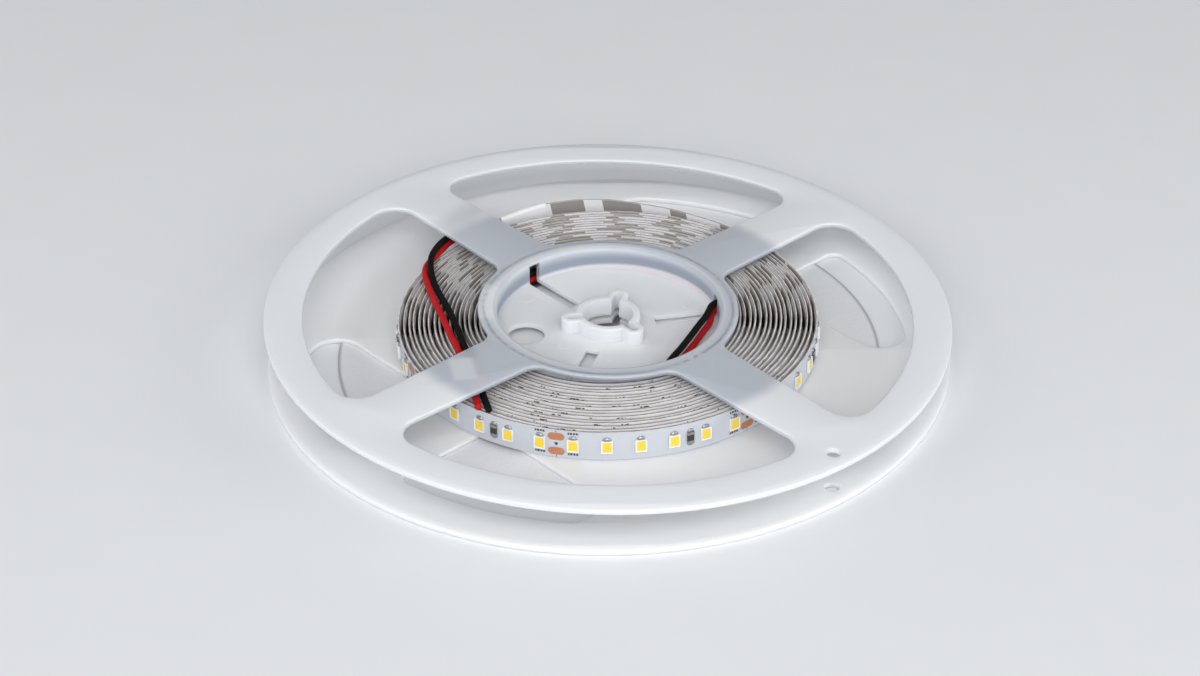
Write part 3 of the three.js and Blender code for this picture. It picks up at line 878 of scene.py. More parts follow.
@dataclass(frozen=True)
class UpperFinish:
    """The upper half's plastic with painted light and shade: shade where the coil and the leads lie close
    under it and on the windows' sides, light over the tape and on the boss, shade and a pink glow on the
    well's wall, and a slight shade from the well's floor outwards.

    Spans are distances from the axis, rises are heights, and soft is half the width of a shade's edge.
    """

    reel: Reel
    flange_rise: Pair = (9.2 * MM, 9.8 * MM)
    coil_shade_centre: Pair = (-0.5 * MM, 0.2 * MM)
    coil_shade_span: Pair = (30.2 * MM, 55.5 * MM)
    coil_shade_soft: float = 2.6 * MM
    coil_shade_strength: float = 0.85
    unshaded_line: tuple[Pair, Pair] = ((-31.0 * MM, -7.0 * MM), (-30.5 * MM, 9.0 * MM))
    unshaded_radius: float = 2.4 * MM
    floor_shade_span: Pair = (12.5 * MM, 15.0 * MM)
    floor_shade_strength: float = 0.08
    boss_painted_light: Colour = (0.76, 0.78, 0.815)
    boss_span: Pair = (12.6 * MM, 13.4 * MM)
    boss_rise: Pair = (7.2 * MM, 8.2 * MM)
    wall_shade: Colour = (0.30, 0.335, 0.40)
    wall_span: Pair = (28.2 * MM, 30.0 * MM)
    wall_soft: float = 0.3 * MM
    wall_rise: Pair = (7.6 * MM, 9.0 * MM)
    wall_fade: tuple[float, ...] = (10.0 * MM, 13.4 * MM, 1.0, 0.35)
    painted_glow: Colour = (0.70, 0.46, 0.50)
    glow_rise: Pair = (6.8 * MM, 8.0 * MM)
    glow_behind: Pair = (2 * MM, 8 * MM)
    glow_across: tuple[float, ...] = (-20 * MM, 22 * MM, 0.12, 0.42)
    edge_shade: Colour = (0.30, 0.325, 0.37)
    edge_depths: Pair = (0.45 * MM, 0.03 * MM)
    edge_span: Pair = (31.5 * MM, 82.0 * MM)
    edge_strengths: Pair = (0.45, 0.8)
    soft: float = 0.5 * MM

    def coil_shade_mask(self, graph: Graph) -> bpy.types.NodeSocket:
        """Return the mask of the painted shade over the coil: 1 over the coil, and 0 elsewhere and in a patch
        at the hub's left side.
        """
        ring = between(graph, graph.plan_distance(self.coil_shade_centre), *self.coil_shade_span, self.coil_shade_soft)
        clear = near_line(graph, *self.unshaded_line, self.unshaded_radius, self.unshaded_radius)
        return graph.product(ring, graph.math("SUBTRACT", 1.0, clear))

    def material(self) -> bpy.types.Material:
        """Return the finish as a material."""
        plastic = ReelPlastic("upper_reel_plastic")
        graph = plastic.graph()
        east, north, height = graph.coordinates()
        out = graph.plan_distance((0, 0))
        flange = graph.ramp(height, *self.flange_rise)
        # Painted shade: the flange darkened towards the shaded colour where the coil lies close under it
        under = graph.product(self.coil_shade_mask(graph), flange)
        colour = graph.over(plastic.white, plastic.shaded, under, self.coil_shade_strength)
        # Painted shade: a slight darkening towards the shaded colour from the well's floor outwards
        floor = graph.ramp(out, *self.floor_shade_span, 0.0, self.floor_shade_strength)
        colour = graph.over(colour, plastic.shaded, floor)
        # Painted light: the boss made paler than the rest of the plastic, as if lit through it
        boss = graph.ramp(out, *self.boss_span, 1.0, 0.0)
        colour = graph.over(colour, self.boss_painted_light, boss, graph.ramp(height, *self.boss_rise))
        wall = between(graph, out, *self.wall_span, self.wall_soft)
        rise = graph.ramp(height, *self.wall_rise)
        colour = graph.over(colour, self.wall_shade, wall, rise, graph.ramp(height, *self.wall_fade))
        # Painted glow: a pink tint at the foot of the well's wall, behind which the red lead runs
        foot = between(graph, height, *self.glow_rise, self.soft)
        behind = graph.ramp(north, *self.glow_behind)
        colour = graph.over(colour, self.painted_glow, wall, foot, behind, graph.ramp(east, *self.glow_across))
        # Painted shade and light of the leads and the tape close under the flange
        for show_through in PAINTED_SHOW_THROUGH:
            colour = show_through.on(graph, colour, flange)
        level = graph.math("ADD", height, graph.product(east, math.tan(math.radians(self.reel.tilt))))
        low, high = (self.reel.top - depth for depth in self.edge_depths)
        side = graph.ramp(level, low, high, 1.0, 0.0)
        inside = between(graph, out, *self.edge_span, self.soft)
        amount = graph.ramp(under, 0, 1, *self.edge_strengths)
        graph.surface(Base_Color=graph.over(colour, self.edge_shade, side, inside, amount))
        return graph.material


@dataclass(frozen=True)
class UpperHalf:
    """The upper flange with the well, the keyed boss and the slots."""

    reel: Reel
    window_outer: float = 79.0 * MM
    window_inner: float = 34.0 * MM
    outer_fillet: float = 6.5 * MM
    inner_fillet: float = 4.5 * MM
    window_rounding: float = 0.6 * MM
    spoke_narrowing: float = 0.9 * MM
    lip: float = 1.2 * MM
    boss_radius: float = 8.4 * MM
    boss_height: float = 3.8 * MM
    key_width: float = 5.0 * MM
    key_reach: float = 12.4 * MM
    slot_angles: tuple[float, ...] = (12.5, 132.5, 252.5)
    slot_width: float = 3.6 * MM
    slot_inner: float = 12.7 * MM
    slot_rise: float = 0.5 * MM
    post_hole: float = 4.9 * MM
    post_distance: float = 21.7 * MM
    post_angle: float = 192.5
    mark_radius: float = 1.8 * MM
    mark_rise: float = 0.07 * MM
    ejector_marks: tuple[tuple[float, float], ...] = (
        (25.0, 150.0), (24.0, 26.0), (12.8, 38.0), (15.0, 222.0), (15.5, 273.0),
    )

    def window(self, spoke: float) -> Outline:
        """Return the outline of the window that follows a spoke."""
        side = self.reel.spoke_width / 2
        near = corner_at_circle(side, self.window_inner, self.inner_fillet, False)
        near += corner_at_circle(side - self.spoke_narrowing, self.window_outer, self.outer_fillet, True)
        far = turned(mirrored(near), 90)
        outer = arc(AXIS, self.window_outer, bearing(near[-1]), bearing(far[0]), 48)[1:-1]
        inner = arc(AXIS, self.window_inner, bearing(far[-1]), bearing(near[0]), 32)[1:-1]
        return turned(near + outer + far + inner, spoke)

    def well(self) -> bpy.types.Object:
        """Return the well's wall and floor as one turned solid."""
        reel = self.reel
        wall, base = reel.wall, reel.floor_bottom
        under = reel.top - reel.flange
        foot = 0.5 * MM
        profile = [(0.45 * reel.bore, base), (wall - 0.3 * MM, base), (wall, base + 0.3 * MM), (wall, under)]
        profile += [(wall + reel.hub_collar, under), (wall + reel.hub_collar, reel.top)]
        profile += quarter(reel.well_radius + self.lip, reel.top - self.lip, self.lip, 90, 180)
        profile += quarter(reel.well_radius - foot, reel.floor_top + foot, foot, 0, -90)
        profile += [(0.45 * reel.bore, reel.floor_top)]
        return turned_solid("upper_half_finished", profile, 192)

    def hub(self) -> bpy.types.Object:
        """Return the well with its boss, slots, holes and moulding marks."""
        reel = self.reel
        base = reel.floor_bottom
        below, above = base - 1 * MM, reel.top + 1 * MM
        hub = self.well()
        outline = reel.keyed_outline(self.boss_radius, self.key_width, self.key_reach)
        boss_top = reel.floor_top + self.boss_height
        combine(hub, plate("boss", [outline], base + 0.3 * MM, boss_top, 0.25 * MM, 2), Join.ADD)
        for distance, angle in self.ejector_marks:
            mark = circle(self.mark_radius, 32, polar(distance * MM, angle))
            combine(hub, plate("mark", [mark], base + 0.5 * MM, reel.floor_top + self.mark_rise), Join.ADD)
        reel.cut_bore(hub, below, above)
        half = self.slot_width / 2
        slot = rectangle(self.slot_inner, reel.wall + 1 * MM, -half, half)
        slot_top = reel.top - reel.flange + self.slot_rise
        for angle in self.slot_angles:
            combine(hub, plate("slot", [turned(slot, angle)], below, slot_top), Join.CUT)
        reel.drill(hub, self.post_hole, self.post_distance, self.post_angle, below, above)
        return hub

    def build(self) -> bpy.types.Object:
        """Make the half, tilt it as it lies and hand it over."""
        reel = self.reel
        bottom = reel.top - reel.flange
        windows = [self.window(reel.spoke_angle + turn) for turn in (0, 90, 180, 270)]
        half = self.hub()
        reel.add_flange(half, windows, bottom, self.window_rounding)
        reel.drill(half, reel.pin_hole, reel.pin_distance, reel.pin_angle, bottom - 1 * MM, reel.top + 1 * MM)
        clean(half)
        pivot = Matrix.Translation((0, 0, reel.top))
        half.data.transform(pivot @ Matrix.Rotation(math.radians(reel.tilt), 4, "Y") @ pivot.inverted())
        smooth(half)
        half.name = "upper_half_finished"
        give(half, UpperFinish(reel).material())
        return hand_over(half, "reel_plastic", "upper_reel_half")


@dataclass(frozen=True)
class LowerHalf:
    """The lower flange, whose windows lie beside two spokes, with its own cup."""

    reel: Reel
    window_outer: float = 78.5 * MM
    window_chord: float = 48.0 * MM
    chord_fillet: float = 7.0 * MM
    spoke_fillet: float = 3.0 * MM
    window_rounding: float = 0.3 * MM
    recess_radius: float = 72.5 * MM
    recess: float = 0.3 * MM
    clearance: float = 0.3 * MM
    # Painted light: paler than the upper half's white, for the light that reaches the lower flange
    white: Colour = (0.91, 0.93, 0.955)

    def window(self, spoke: float, is_mirrored: bool) -> Outline:
        """Return the outline of a window on one side of a spoke."""
        side = self.reel.spoke_width / 2
        reach = self.window_outer - self.chord_fillet
        chord_corner = Vector((self.window_chord + self.chord_fillet, 0))
        chord_corner.y = math.sqrt(reach * reach - chord_corner.x ** 2)
        spoke_corner = Vector((self.window_chord + self.spoke_fillet, side + self.spoke_fillet))
        outer_corner = corner_at_circle(side, self.window_outer, self.spoke_fillet, True)
        points = arc(spoke_corner, self.spoke_fillet, 180, 270, 8) + outer_corner
        points += arc(AXIS, self.window_outer, bearing(outer_corner[-1]), bearing(chord_corner), 40)[1:-1]
        points += arc(chord_corner, self.chord_fillet, bearing(chord_corner), 180, 16)
        return turned(mirrored(points) if is_mirrored else points, spoke)

    def cup(self) -> bpy.types.Object:
        """Return the cup under the upper half's floor as one turned solid."""
        reel = self.reel
        wall = reel.wall
        fall = wall * math.tan(math.radians(reel.tilt))
        top = reel.floor_bottom - fall - self.clearance
        base = top - reel.floor_thickness
        profile = [(0.45 * reel.bore, base), (reel.well_radius, base), (reel.well_radius, 0)]
        profile += [(wall + reel.hub_collar, 0), (wall + reel.hub_collar, reel.flange), (wall, reel.flange)]
        profile += [(wall, top), (0.45 * reel.bore, top)]
        return turned_solid("lower_half_finished", profile, 192)

    def build(self) -> bpy.types.Object:
        """Make the half and hand it over."""
        reel = self.reel
        spokes = (reel.spoke_angle, reel.spoke_angle + 180)
        windows = [self.window(spoke, is_mirrored) for spoke in spokes for is_mirrored in (False, True)]
        half = self.cup()
        reel.add_flange(half, windows, 0, self.window_rounding)
        recess = plate("recess", [circle(self.recess_radius, reel.round_steps)], -1 * MM, self.recess)
        combine(half, recess, Join.CUT)
        reel.cut_bore(half, -1 * MM, reel.top)
        reel.drill(half, reel.pin_hole, reel.pin_distance, reel.pin_angle, -1 * MM, reel.flange + 1 * MM)
        clean(half)
        smooth(half)
        half.name = "lower_half_finished"
        give(half, self.finish())
        return hand_over(half, "reel_plastic", "lower_reel_half")

    def finish(self) -> bpy.types.Material:
        """Return the plastic, painted paler than the upper half's as painted light for the light that reaches
        the lower flange.
        """
        plastic = ReelPlastic("lower_reel_plastic", white=self.white)
        graph = plastic.graph()
        graph.surface(Base_Color=(*plastic.white, 1.0))
        return graph.material


@dataclass(frozen=True)
class Label:
    """The round paper label under the lower flange."""

    radius: float = 71.0 * MM
    bore: float = 8.0 * MM
    top: float = 0.28 * MM
    thickness: float = 0.15 * MM
    border: float = 66.0 * MM
    paper: Colour = (0.76, 0.77, 0.79)
    # Also the colour of the painted shadow along the label's edge
    ink: Colour = (0.30, 0.31, 0.33)
    border_half: float = 0.5 * MM
    edge_shadow_span: Pair = (1.1 * MM, 0.3 * MM)
    edge_shadow_strength: float = 0.7

    def finish(self) -> bpy.types.Material:
        """Return the paper, with a plain printed border on its lower face and a painted shadow along its
        edge.
        """
        graph = Graph("label_paper")
        graph.surface(Roughness=0.75)
        fibre = graph.noise(graph.place(), 1400)
        around = graph.plan_distance((0, 0))
        border = between(graph, around, self.border - self.border_half, self.border + self.border_half,
                         0.05 * MM)
        lower = graph.math("LESS_THAN", graph.height(), self.top - 0.6 * self.thickness)
        paper = graph.mix(graph.ramp(fibre, 0.3, 0.7), self.paper, tuple(0.96 * c for c in self.paper))
        paper = graph.over(paper, self.ink, border, lower, 0.8)
        # Painted shadow: a dark ring just inside the label's edge, in the ink colour
        start, end = (self.radius - inset for inset in self.edge_shadow_span)
        cut = graph.ramp(around, start, end, 0.0, self.edge_shadow_strength)
        graph.surface(Base_Color=graph.over(paper, self.ink, cut))
        graph.bump(fibre, 0.1, 0.0001)
        return graph.material

    def build(self) -> bpy.types.Object:
        """Make the label and hand it over."""
        outlines = [circle(self.radius, 256), circle(self.bore, 96)]
        label = plate("label_finished", outlines, self.top - self.thickness, self.top)
        smooth(label)
        give(label, self.finish())
        return hand_over(label, "paper", "reel_label")


# Strip


@dataclass(frozen=True)
class Coil:
    """The wound strip: the board with its white face outwards, and the backing paper inside it."""

    route: StripRoute
    board: float = 0.26 * MM
    backing: float = 0.26 * MM
    step: float = 3.0
    end_step: float = 2.0
    wander: float = 0.10 * MM
    rise: float = 0.07 * MM
    # The same white board in two tones of painted light and shade: darker on the outermost turn and paler on
    # the wound turns, for how the light falls on each
    outer_white: Colour = (0.565, 0.59, 0.635)
    inner_white: Colour = (0.84, 0.835, 0.85)
    # Also the colour of the painted shade deep between the turns
    speck_and_gap_shade: Colour = (0.07, 0.06, 0.055)
    speck_run: float = 2.3 * MM
    speck_chance: float = 0.89
    speck_rise: Pair = (8.95 * MM, 9.35 * MM)
    speck_grain: Pair = (0.49, 0.53)
    loose_until: float = 380.0
    settling: float = 90.0

    @property
    def front_at(self) -> float:
        """Return how many degrees back from its end the strip first passes the front."""
        return self.route.end_angle + 90

    def backs(self) -> list[float]:
        """Return the degrees back from the end at each step."""
        backs, back = [], 0.0
        while back < self.route.turns * 360:
            backs.append(back)
            back += self.end_step if back < 360 else self.step
        return backs

    def drift(self, back: float) -> Pair:
        """Return how far a wound turn wanders outwards and upwards at some degrees back from the end."""
        turn = math.radians(back)
        settled = min(1.0, max(0.0, (back - self.loose_until) / self.settling))
        wave = math.sin(turn * 1.37) + 0.7 * math.sin(turn * 3.11 + 1.0)
        lift = math.sin(turn * 0.61) + math.sin(turn * 2.3 + 0.5)
        return settled * self.wander * wave, 0.5 * self.rise * lift * settled

    def ribbon(self, name: str, offset: float, thickness: float,
               materials: list[bpy.types.Material]) -> bpy.types.Object:
        """Return one layer of the strip.

        Args:
            name: The object's name.
            offset: How far its outer face is outside the strip's middle line.
            thickness: How thick it is, inwards from there.
            materials: The materials of its outer face, its inner face and its edges.

        Returns:
            The layer, with its length from the strip's end and its turn stored at each point.
        """
        points, lengths, turns, travelled = [], [], [], 0.0
        for back in self.backs():
            aside, up = self.drift(back)
            at = self.route.point(back, offset + aside)
            points.append((at.x, at.y, self.route.bottom + up))
            if len(points) > 1:
                travelled += (Vector(points[-1]) - Vector(points[-2])).length
            lengths.append(travelled)
            turns.append(math.floor((back - self.front_at) / 360))
        ribbon = mesh_piece(name, points, [(i, i + 1) for i in range(len(points) - 1)], [])
        for key, values in (("along", lengths), ("turn", turns)):
            ribbon.data.attributes.new(key, "FLOAT", "POINT").data.foreach_set("value", values)
        with editing(ribbon):
            rise = (0, 0, self.route.top - self.route.bottom)
            bpy.ops.mesh.extrude_region_move(TRANSFORM_OT_translate={"value": rise})
        if not self.faces_out(ribbon):
            with editing(ribbon):
                bpy.ops.mesh.flip_normals()
        give(ribbon, *materials)
        apply_modifier(ribbon, "SOLIDIFY", thickness=thickness, offset=-1, material_offset=1,
                       material_offset_rim=2)
        return ribbon

    def faces_out(self, ribbon: bpy.types.Object) -> bool:
        """Return whether the ribbon's faces point away from the axis."""
        face = ribbon.data.polygons[0]
        return face.normal.dot(Vector((face.center.x, face.center.y, 0))) > 0

    def board_face(self) -> bpy.types.Material:
        """Return the board's white face, whose inner turns show specks of print near their upper edge and
        painted shade deep between them.
        """
        graph = Graph("board_face")
        graph.surface(Roughness=0.42)
        along = graph.attribute("along")
        height = graph.height()
        inner = graph.math("GREATER_THAN", along, OUTER_TURN)
        stretch = graph.math("FLOOR", graph.math("DIVIDE", along, self.speck_run))
        here = graph.math("GREATER_THAN", graph.chance(stretch), self.speck_chance)
        band = between(graph, height, *self.speck_rise, 0.05 * MM)
        grain = graph.ramp(graph.noise(graph.place(), 1700, 1), *self.speck_grain)
        colour = graph.mix(inner, self.outer_white, self.inner_white)
        colour = graph.over(colour, self.speck_and_gap_shade, here, inner, band, grain)
        # Painted shade deep between the wound turns, in the specks' colour
        graph.surface(Base_Color=graph.mix(gap_shade_amount(graph), colour, self.speck_and_gap_shade))
        return graph.material

    def build(self) -> None:
        """Make both layers and hand them over."""
        white = self.board_face()
        edge = PlainFinish("board_edge", (0.86, 0.835, 0.83), 0.55, mottle=0.4, scale=330).material()
        brown = PlainFinish("backing_edge", (0.31, 0.25, 0.22), 0.7, mottle=0.4, scale=420).material()
        outer = self.route.half_thickness
        board = self.ribbon("strip_board", outer, self.board, [white, white, edge])
        hand_over(board, "strip", "led_strip_coil")
        paper = BackingPrint().material()
        backing = self.ribbon("strip_backing", outer - self.board, self.backing, [brown, paper, brown])
        hand_over(backing, "strip")


@dataclass(frozen=True)
class Light:
    """A white surface-mount package with a yellow phosphor window and its solder."""

    width: float = 2.95 * MM
    height: float = 3.5 * MM
    depth: float = 0.7 * MM
    frame: float = 0.29 * MM
    dish: float = 0.12 * MM
    edge: float = 0.08 * MM
    corner: float = 0.2 * MM
    solder: float = 1.0 * MM
    lower_share: float = 0.45
    sink: float = 0.1 * MM

    def model(self) -> bpy.types.Object:
        """Return one light at the origin, its face towards -Y."""
        size = Vector((self.width, self.depth, self.height))
        package = block("package", size, Vector((0, -self.depth / 2, 0)), self.edge)
        give(package, *light_finishes())
        select_facing(package, Vector((0, -1, 0)))
        with editing(package, everything=False):
            bpy.ops.mesh.inset(thickness=self.frame, depth=0)
            bpy.ops.mesh.bevel(offset=self.corner, segments=3, affect="VERTICES")
            package.active_material_index = 1
            bpy.ops.object.material_slot_assign()
            bpy.ops.transform.translate(value=(0, self.dish, 0))
        return join("light", [package, self.fillet(1), self.fillet(-1)])

    def fillet(self, side: int) -> bpy.types.Object:
        """Return the solder at the upper or lower end of the package."""
        reach = self.solder if side > 0 else self.lower_share * self.solder
        end = side * (self.height / 2 - self.sink)
        solder = bead((0.38 * self.width, 0.75 * self.depth, reach), (0, 0, end))
        give(solder, *light_finishes())
        paint(solder, 2)
        return solder


def light_finishes() -> list[bpy.types.Material]:
    """Return the package, phosphor and solder finishes, made once."""
    wanted = (
        PlainFinish("package_white", (0.84, 0.85, 0.87), 0.35),
        PlainFinish("phosphor", (0.93, 0.66, 0.055), 0.5, mottle=0.03),
        PlainFinish("solder", (0.36, 0.36, 0.36), 0.3, 0.8, scale=1500),
    )
    return [finish.once() for finish in wanted]


@dataclass(frozen=True)
class Resistor:
    """A black chip with bright ends and its solder."""

    width: float = 1.75 * MM
    height: float = 3.4 * MM
    depth: float = 0.55 * MM
    cap: float = 0.85 * MM
    solder: float = 0.8 * MM

    def model(self) -> bpy.types.Object:
        """Return one resistor at the origin, its face towards -Y."""
        glaze = PlainFinish("resistor_glaze", (0.035, 0.033, 0.035), 0.3).material()
        bright = light_finishes()[2]
        middle = Vector((0, -self.depth / 2, 0))
        body = block("resistor", Vector((self.width, self.depth, self.height)), middle, 0.05 * MM)
        parts = [body]
        for side in (1, -1):
            size = Vector((1.04 * self.width, 1.08 * self.depth, self.cap))
            end = Vector((0, -0.54 * self.depth, side * (self.height - self.cap) / 2))
            parts.append(block("cap", size, end, 0.06 * MM))
            reach = (0.5 * self.width, 0.8 * self.depth, self.solder)
            parts.append(bead(reach, (0, 0, side * self.height / 2)))
        for part in parts:
            give(part, glaze, bright)
            paint(part, 0 if part is body else 1)
        return join("resistor", parts)


@dataclass(frozen=True)
class Fittings:
    """All that is soldered to or printed on the strip's outermost turn."""

    route: StripRoute
    per_segment: int = 6
    resistor_after: int = 2
    solder_gap: float = 0.03 * MM
    pad_width: float = 4.2 * MM
    pad_height: float = 2.1 * MM
    pad_spread: float = 2.15 * MM
    film: float = 0.04 * MM
    wedge: tuple[Pair, ...] = ((-0.5, 0.4), (-0.15, -0.45), (0.2, -0.45), (0.5, 0.35))
    tick_size: Pair = (0.16 * MM, 0.5 * MM)
    tick_heights: Pair = (3.6 * MM, -3.6 * MM)
    bars: tuple[Pair, ...] = ((-1.1, 0.35), (-0.45, 0.55), (0.3, 0.45), (1.0, 0.5))
    bar_height: float = 0.55 * MM
    bar_heights: Pair = (3.35 * MM, -2.75 * MM)

    def seat(self, light: float) -> Matrix:
        """Return the place on the strip of a light's number, or of a number between two lights."""
        return self.route.seat(self.route.light_at(light), self.solder_gap)

    def copies(self, model: bpy.types.Object, name: str, slot: str, node: str,
               lights: Sequence[float]) -> None:
        """Stand copies of a model on the strip.

        Args:
            model: What is copied, at the origin, which is removed at the end.
            name: Each copy's name, with braces for its number.
            slot: A material slot's name, which is not used.
            node: The node that each copy stands for, with braces for its number.
            lights: Which light each copy stands at.
        """
        for number, light in enumerate(lights, start=1):
            copy = model.copy()
            copy.data = model.data.copy()
            copy.name = name.format(number)
            copy.data.transform(self.seat(light))
            bpy.context.scene.collection.objects.link(copy)
            hand_over(copy, slot, node.format(number))
        bpy.data.objects.remove(model)

    def flat_mark(self, outline: Outline, seat: Matrix) -> bpy.types.Object:
        """Return a thin flat shape, drawn in plan, stood up on the strip at a seat."""
        mark = plate("mark", [outline], 0, self.film)
        mark.data.transform(seat @ Matrix.Rotation(math.radians(90), 4, "X"))
        return mark

    def pads(self) -> None:
        """Make the copper pads at each cut line."""
        half = self.pad_height / 2
        reach = self.pad_width / 2 - half
        obround = arc(Vector((reach, 0)), half, -90, 90, 8) + arc(Vector((-reach, 0)), half, 90, 270, 8)
        marks = []
        for index in range(0, self.route.lights, self.per_segment):
            seat = self.seat(index + 0.5)
            for side in (1, -1):
                marks.append(self.flat_mark(moved(obround, side * self.pad_spread), seat))
        pads = join("copper_pads", marks)
        give(pads, PlainFinish("pad_copper", (0.60, 0.245, 0.125), 0.45, 0.25, mottle=0.12).material())
        hand_over(pads, "strip")

    def print_marks(self) -> None:
        """Make the plain ink marks: a wedge and ticks at each cut line, and short bars beside the lights."""
        marks = []
        wedge = [Vector(corner) * MM for corner in self.wedge]
        tick = self.bar(0, *self.tick_size)
        bars = [self.bar(across * MM, width * MM, self.bar_height) for across, width in self.bars]
        for index in range(0, self.route.lights, self.per_segment):
            seat = self.seat(index + 0.5)
            marks.append(self.flat_mark(wedge, seat))
            marks += [self.flat_mark(moved(tick, height), seat) for height in self.tick_heights]
            for light in (index, index + 1):
                seat = self.seat(light)
                for height in self.bar_heights:
                    marks += [self.flat_mark(moved(bar, height), seat) for bar in bars]
        ink = join("strip_print", marks)
        give(ink, PlainFinish("strip_ink", (0.06, 0.055, 0.06), 0.6).material())
        hand_over(ink, "strip")

    def bar(self, across: float, width: float, height: float) -> Outline:
        """Return a small upright bar's outline about a height of 0."""
        return rectangle(across - width / 2, across + width / 2, -height / 2, height / 2)

    def build(self) -> None:
        """Make the lights, the resistors, the pads and the print."""
        lights = range(self.route.lights)
        resistors = [index + 0.5 for index in lights[self.resistor_after:-1:self.per_segment]]
        self.copies(Light().model(), "light_{:02d}", "led_package", "led_{:02d}", lights)
        self.copies(Resistor().model(), "chip_resistor_{}", "resistor_body", "resistor_{}", resistors)
        self.pads()
        self.print_marks()


@dataclass(frozen=True)
class Sleeve:
    """The white shrink sleeve over the strip's outer end."""

    route: StripRoute
    arc: float = 12.8
    overhang: float = 1.2
    wall: float = 0.5 * MM
    stand: float = 0.45 * MM
    steps: int = 18
    crinkle: float = 0.06
    crinkle_rates: Pair = (19, 7)
    end_shrink: float = 0.12

    def swell(self, step: int) -> float:
        """Return how far the wall stands out at a step, as a share: crinkled, and less at both ends."""
        fine, broad = (math.sin(step / self.steps * rate) for rate in self.crinkle_rates)
        return 1.0 + self.crinkle * fine * broad - self.end_shrink * (step in (0, self.steps))

    def ring(self, back: float, swell: float) -> list[Vector]:
        """Return the sleeve's section at one place, as a rounded upright slot."""
        half = self.route.half_thickness + self.wall * swell
        bottom = self.route.bottom + 0.02 * MM
        top = self.route.top + self.stand * swell
        middle = self.route.point(back)
        outward = (self.route.point(back, 1 * MM) - middle).normalized()
        points = []
        for centre, start in ((bottom + half, 180), (top - half, 0)):
            for step in range(9):
                angle = math.radians(start + 180 * step / 8)
                across = half * math.cos(angle)
                at = middle + outward * across
                points.append(Vector((at.x, at.y, centre + half * math.sin(angle))))
        return points

    def build(self) -> bpy.types.Object:
        """Make the sleeve and hand it over."""
        rings = []
        for step in range(self.steps + 1):
            back = -self.overhang + (self.arc + self.overhang) * (step / self.steps)
            rings.append(self.ring(back, self.swell(step)))
        count = len(rings[0])
        points = [point for ring in rings for point in ring]
        faces = [tuple(range(count)), tuple(range(len(points) - count, len(points)))]
        for row in range(self.steps):
            for i in range(count):
                j = (i + 1) % count
                faces.append((row * count + i, row * count + j, (row + 1) * count + j, (row + 1) * count + i))
        sleeve = mesh_piece("sleeve_finished", points, [], faces)
        clean(sleeve)
        smooth(sleeve, 50)
        give(sleeve, PlainFinish("sleeve_white", (0.82, 0.83, 0.84), 0.35, mottle=0.04, scale=300).material())
        return hand_over(sleeve, "sleeve", "strip_end_sleeve")


# Leads


class Jacket(Enum):
    """The colour of a core's jacket."""

    BLACK = (0.003, 0.0027, 0.0025)
    RED = (0.54, 0.010, 0.014)


@dataclass(frozen=True)
class Core:
    """One core of a lead, along its route in millimetres."""

    node: str
    jacket: Jacket
    route: tuple[tuple[float, float, float], ...]
    diameter: float = 1.74 * MM

    def build(self) -> bpy.types.Object:
        line = bpy.data.curves.new(f"{self.node}_core", "CURVE")
        line.dimensions = "3D"
        line.bevel_depth = self.diameter / 2
        line.bevel_resolution = 6
        line.resolution_u = 6
        line.use_fill_caps = True
        spline = line.splines.new("BEZIER")
        spline.bezier_points.add(len(self.route) - 1)
        for point, place in zip(spline.bezier_points, self.route):
            point.co = Vector(place) * MM
            point.handle_left_type = point.handle_right_type = "AUTO"
        core = new_object(line.name, line)
        give(core, jacket_finish(self.jacket))
        slot = "red_jacket" if self.jacket is Jacket.RED else "black_jacket"
        hand_over(core, slot, self.node)
        return core


def jacket_finish(jacket: Jacket) -> bpy.types.Material:
    """Return a jacket's material, made once for each colour."""
    name = f"jacket_{jacket.name.lower()}"
    return PlainFinish(name, jacket.value, 0.6, mottle=0.2, scale=900, bump=0.25, specular=0.22).once()


OUTER_BLACK = (
    (-31.4, 51.9, 8.7), (-36.0, 48.3, 9.6), (-40.6, 43.4, 11.0), (-44.6, 36.6, 12.0), (-46.8, 30.8, 12.3),
    (-47.6, 26.3, 12.4), (-47.5, 21.9, 11.9), (-47.0, 18.9, 11.3), (-46.0, 15.0, 10.8), (-44.4, 10.1, 10.7),
    (-42.6, 5.0, 10.7), (-41.0, 0.1, 10.7), (-39.5, -4.9, 10.7), (-38.2, -9.7, 10.7), (-37.0, -14.5, 10.7),
    (-36.0, -18.5, 10.7), (-33.3, -29.0, 10.7), (-30.8, -39.2, 10.7), (-29.6, -44.0, 10.7),
)
OUTER_RED = (
    (-31.4, 51.9, 6.7), (-35.8, 48.2, 7.6), (-40.8, 42.9, 9.0), (-43.3, 38.4, 10.2), (-45.1, 34.2, 10.45),
    (-46.5, 31.2, 10.5), (-47.9, 28.0, 10.5), (-48.9, 24.8, 10.6), (-48.9, 20.4, 10.7), (-47.9, 15.2, 10.7),
    (-46.6, 10.1, 10.7), (-45.1, 5.1, 10.7), (-43.5, 0.1, 10.7), (-42.1, -4.8, 10.7), (-40.7, -9.6, 10.7),
    (-39.1, -14.4, 10.7), (-37.8, -19.2, 10.7), (-35.6, -29.5, 10.7), (-32.9, -39.6, 10.7),
    (-32.2, -42.8, 10.7),
)
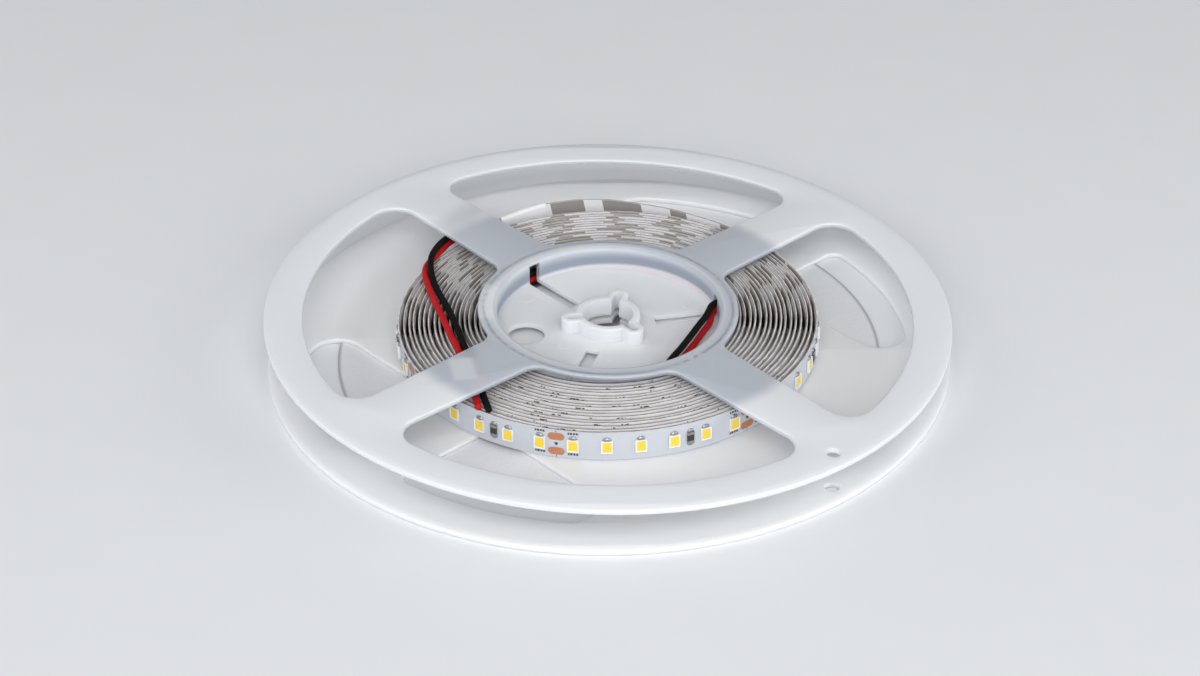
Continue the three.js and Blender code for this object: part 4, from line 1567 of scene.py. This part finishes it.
# Both inner cores run round the hub on one path, the red one a core's spacing lower
CORE_SPACING = 2.0
HUB_RUN = (
    (-31.7, 11.4, 8.2), (-29.8, 15.2, 8.2), (-25.6, 20.4, 8.2), (-19.6, 25.6, 8.3), (-12.7, 29.5, 8.5),
    (-4.0, 32.0, 8.7), (4.5, 31.9, 8.9), (13.0, 29.4, 9.1), (20.4, 25.0, 9.4), (26.2, 18.9, 9.6),
    (29.6, 12.1, 9.7), (30.8, 8.8, 9.7), (29.3, 6.95, 9.7),
)
INNER_BLACK = HUB_RUN + (
    (27.3, 5.1, 9.65), (26.4, 2.6, 9.6), (25.2, -0.8, 9.6), (23.7, -4.0, 9.6), (20.5, -11.1, 9.6),
    (18.3, -15.8, 9.6), (16.6, -19.0, 9.6), (15.4, -21.5, 9.6),
)
INNER_RED = tuple((x, y, round(height - CORE_SPACING, 1)) for x, y, height in HUB_RUN) + (
    (27.4, 5.0, 7.7), (27.0, 2.6, 7.7), (26.3, -0.8, 7.7), (24.9, -4.0, 7.7), (21.8, -11.1, 7.7),
    (19.5, -15.8, 7.7), (17.9, -19.0, 7.7), (16.7, -21.5, 7.7),
)
CORES = (
    Core("outer_lead_black", Jacket.BLACK, OUTER_BLACK),
    Core("outer_lead_red", Jacket.RED, OUTER_RED),
    Core("inner_lead_black", Jacket.BLACK, INNER_BLACK),
    Core("inner_lead_red", Jacket.RED, INNER_RED),
)


@dataclass(frozen=True)
class Tape:
    """The small square of tape that holds the outer lead down on the coil."""

    centre: tuple[float, float] = (-34.6 * MM, -29.5 * MM)
    turn: float = 14.0
    length: float = 9.0 * MM
    span: float = 8.0 * MM
    flat_span: float = 4.6 * MM
    foot: float = 9.8 * MM
    top: float = 11.75 * MM
    thickness: float = 0.15 * MM
    dip: float = 0.12 * MM
    ripple: float = 0.05 * MM
    ripple_rates: Pair = (1400, 700)

    def build(self) -> bpy.types.Object:
        """Make the tape and hand it over."""
        deselect()
        bpy.ops.mesh.primitive_grid_add(x_subdivisions=16, y_subdivisions=12, size=1)
        tape = bpy.context.active_object
        tape.name = "tape_finished"
        for vertex in tape.data.vertices:
            across = vertex.co.x * self.span
            run = vertex.co.y * self.length
            share = min(1.0, max(0.0, (self.span / 2 - abs(across)) / ((self.span - self.flat_span) / 2)))
            eased = share * share * (3 - 2 * share)
            dip = self.dip * math.cos(math.tau * across / self.flat_span) * eased
            ripple = self.ripple * math.sin(run * self.ripple_rates[0] + across * self.ripple_rates[1])
            vertex.co = (across, run, self.foot + (self.top - self.foot) * eased - dip + ripple)
        apply_modifier(tape, "SOLIDIFY", thickness=self.thickness, offset=1)
        place = Matrix.Translation((*self.centre, 0)) @ Matrix.Rotation(math.radians(self.turn), 4, "Z")
        tape.data.transform(place)
        smooth(tape, 50)
        give(tape, PlainFinish("tape_white", (0.80, 0.82, 0.84), 0.5, mottle=0.05).material())
        return hand_over(tape, "tape", "lead_tape")


def main() -> None:
    """Dress the reel, piece by piece."""
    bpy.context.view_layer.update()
    Viewpoint().place()
    for core in CORES:
        core.build()
    studio = Studio()
    studio.floor()
    studio.light()
    reel = Reel()
    route = StripRoute()
    UpperHalf(reel).build()
    LowerHalf(reel).build()
    Label().build()
    Coil(route).build()
    Fittings(route).build()
    Sleeve(route).build()
    Tape().build()


if __name__ == "__main__":
    logging.basicConfig(level=logging.INFO)
    main()
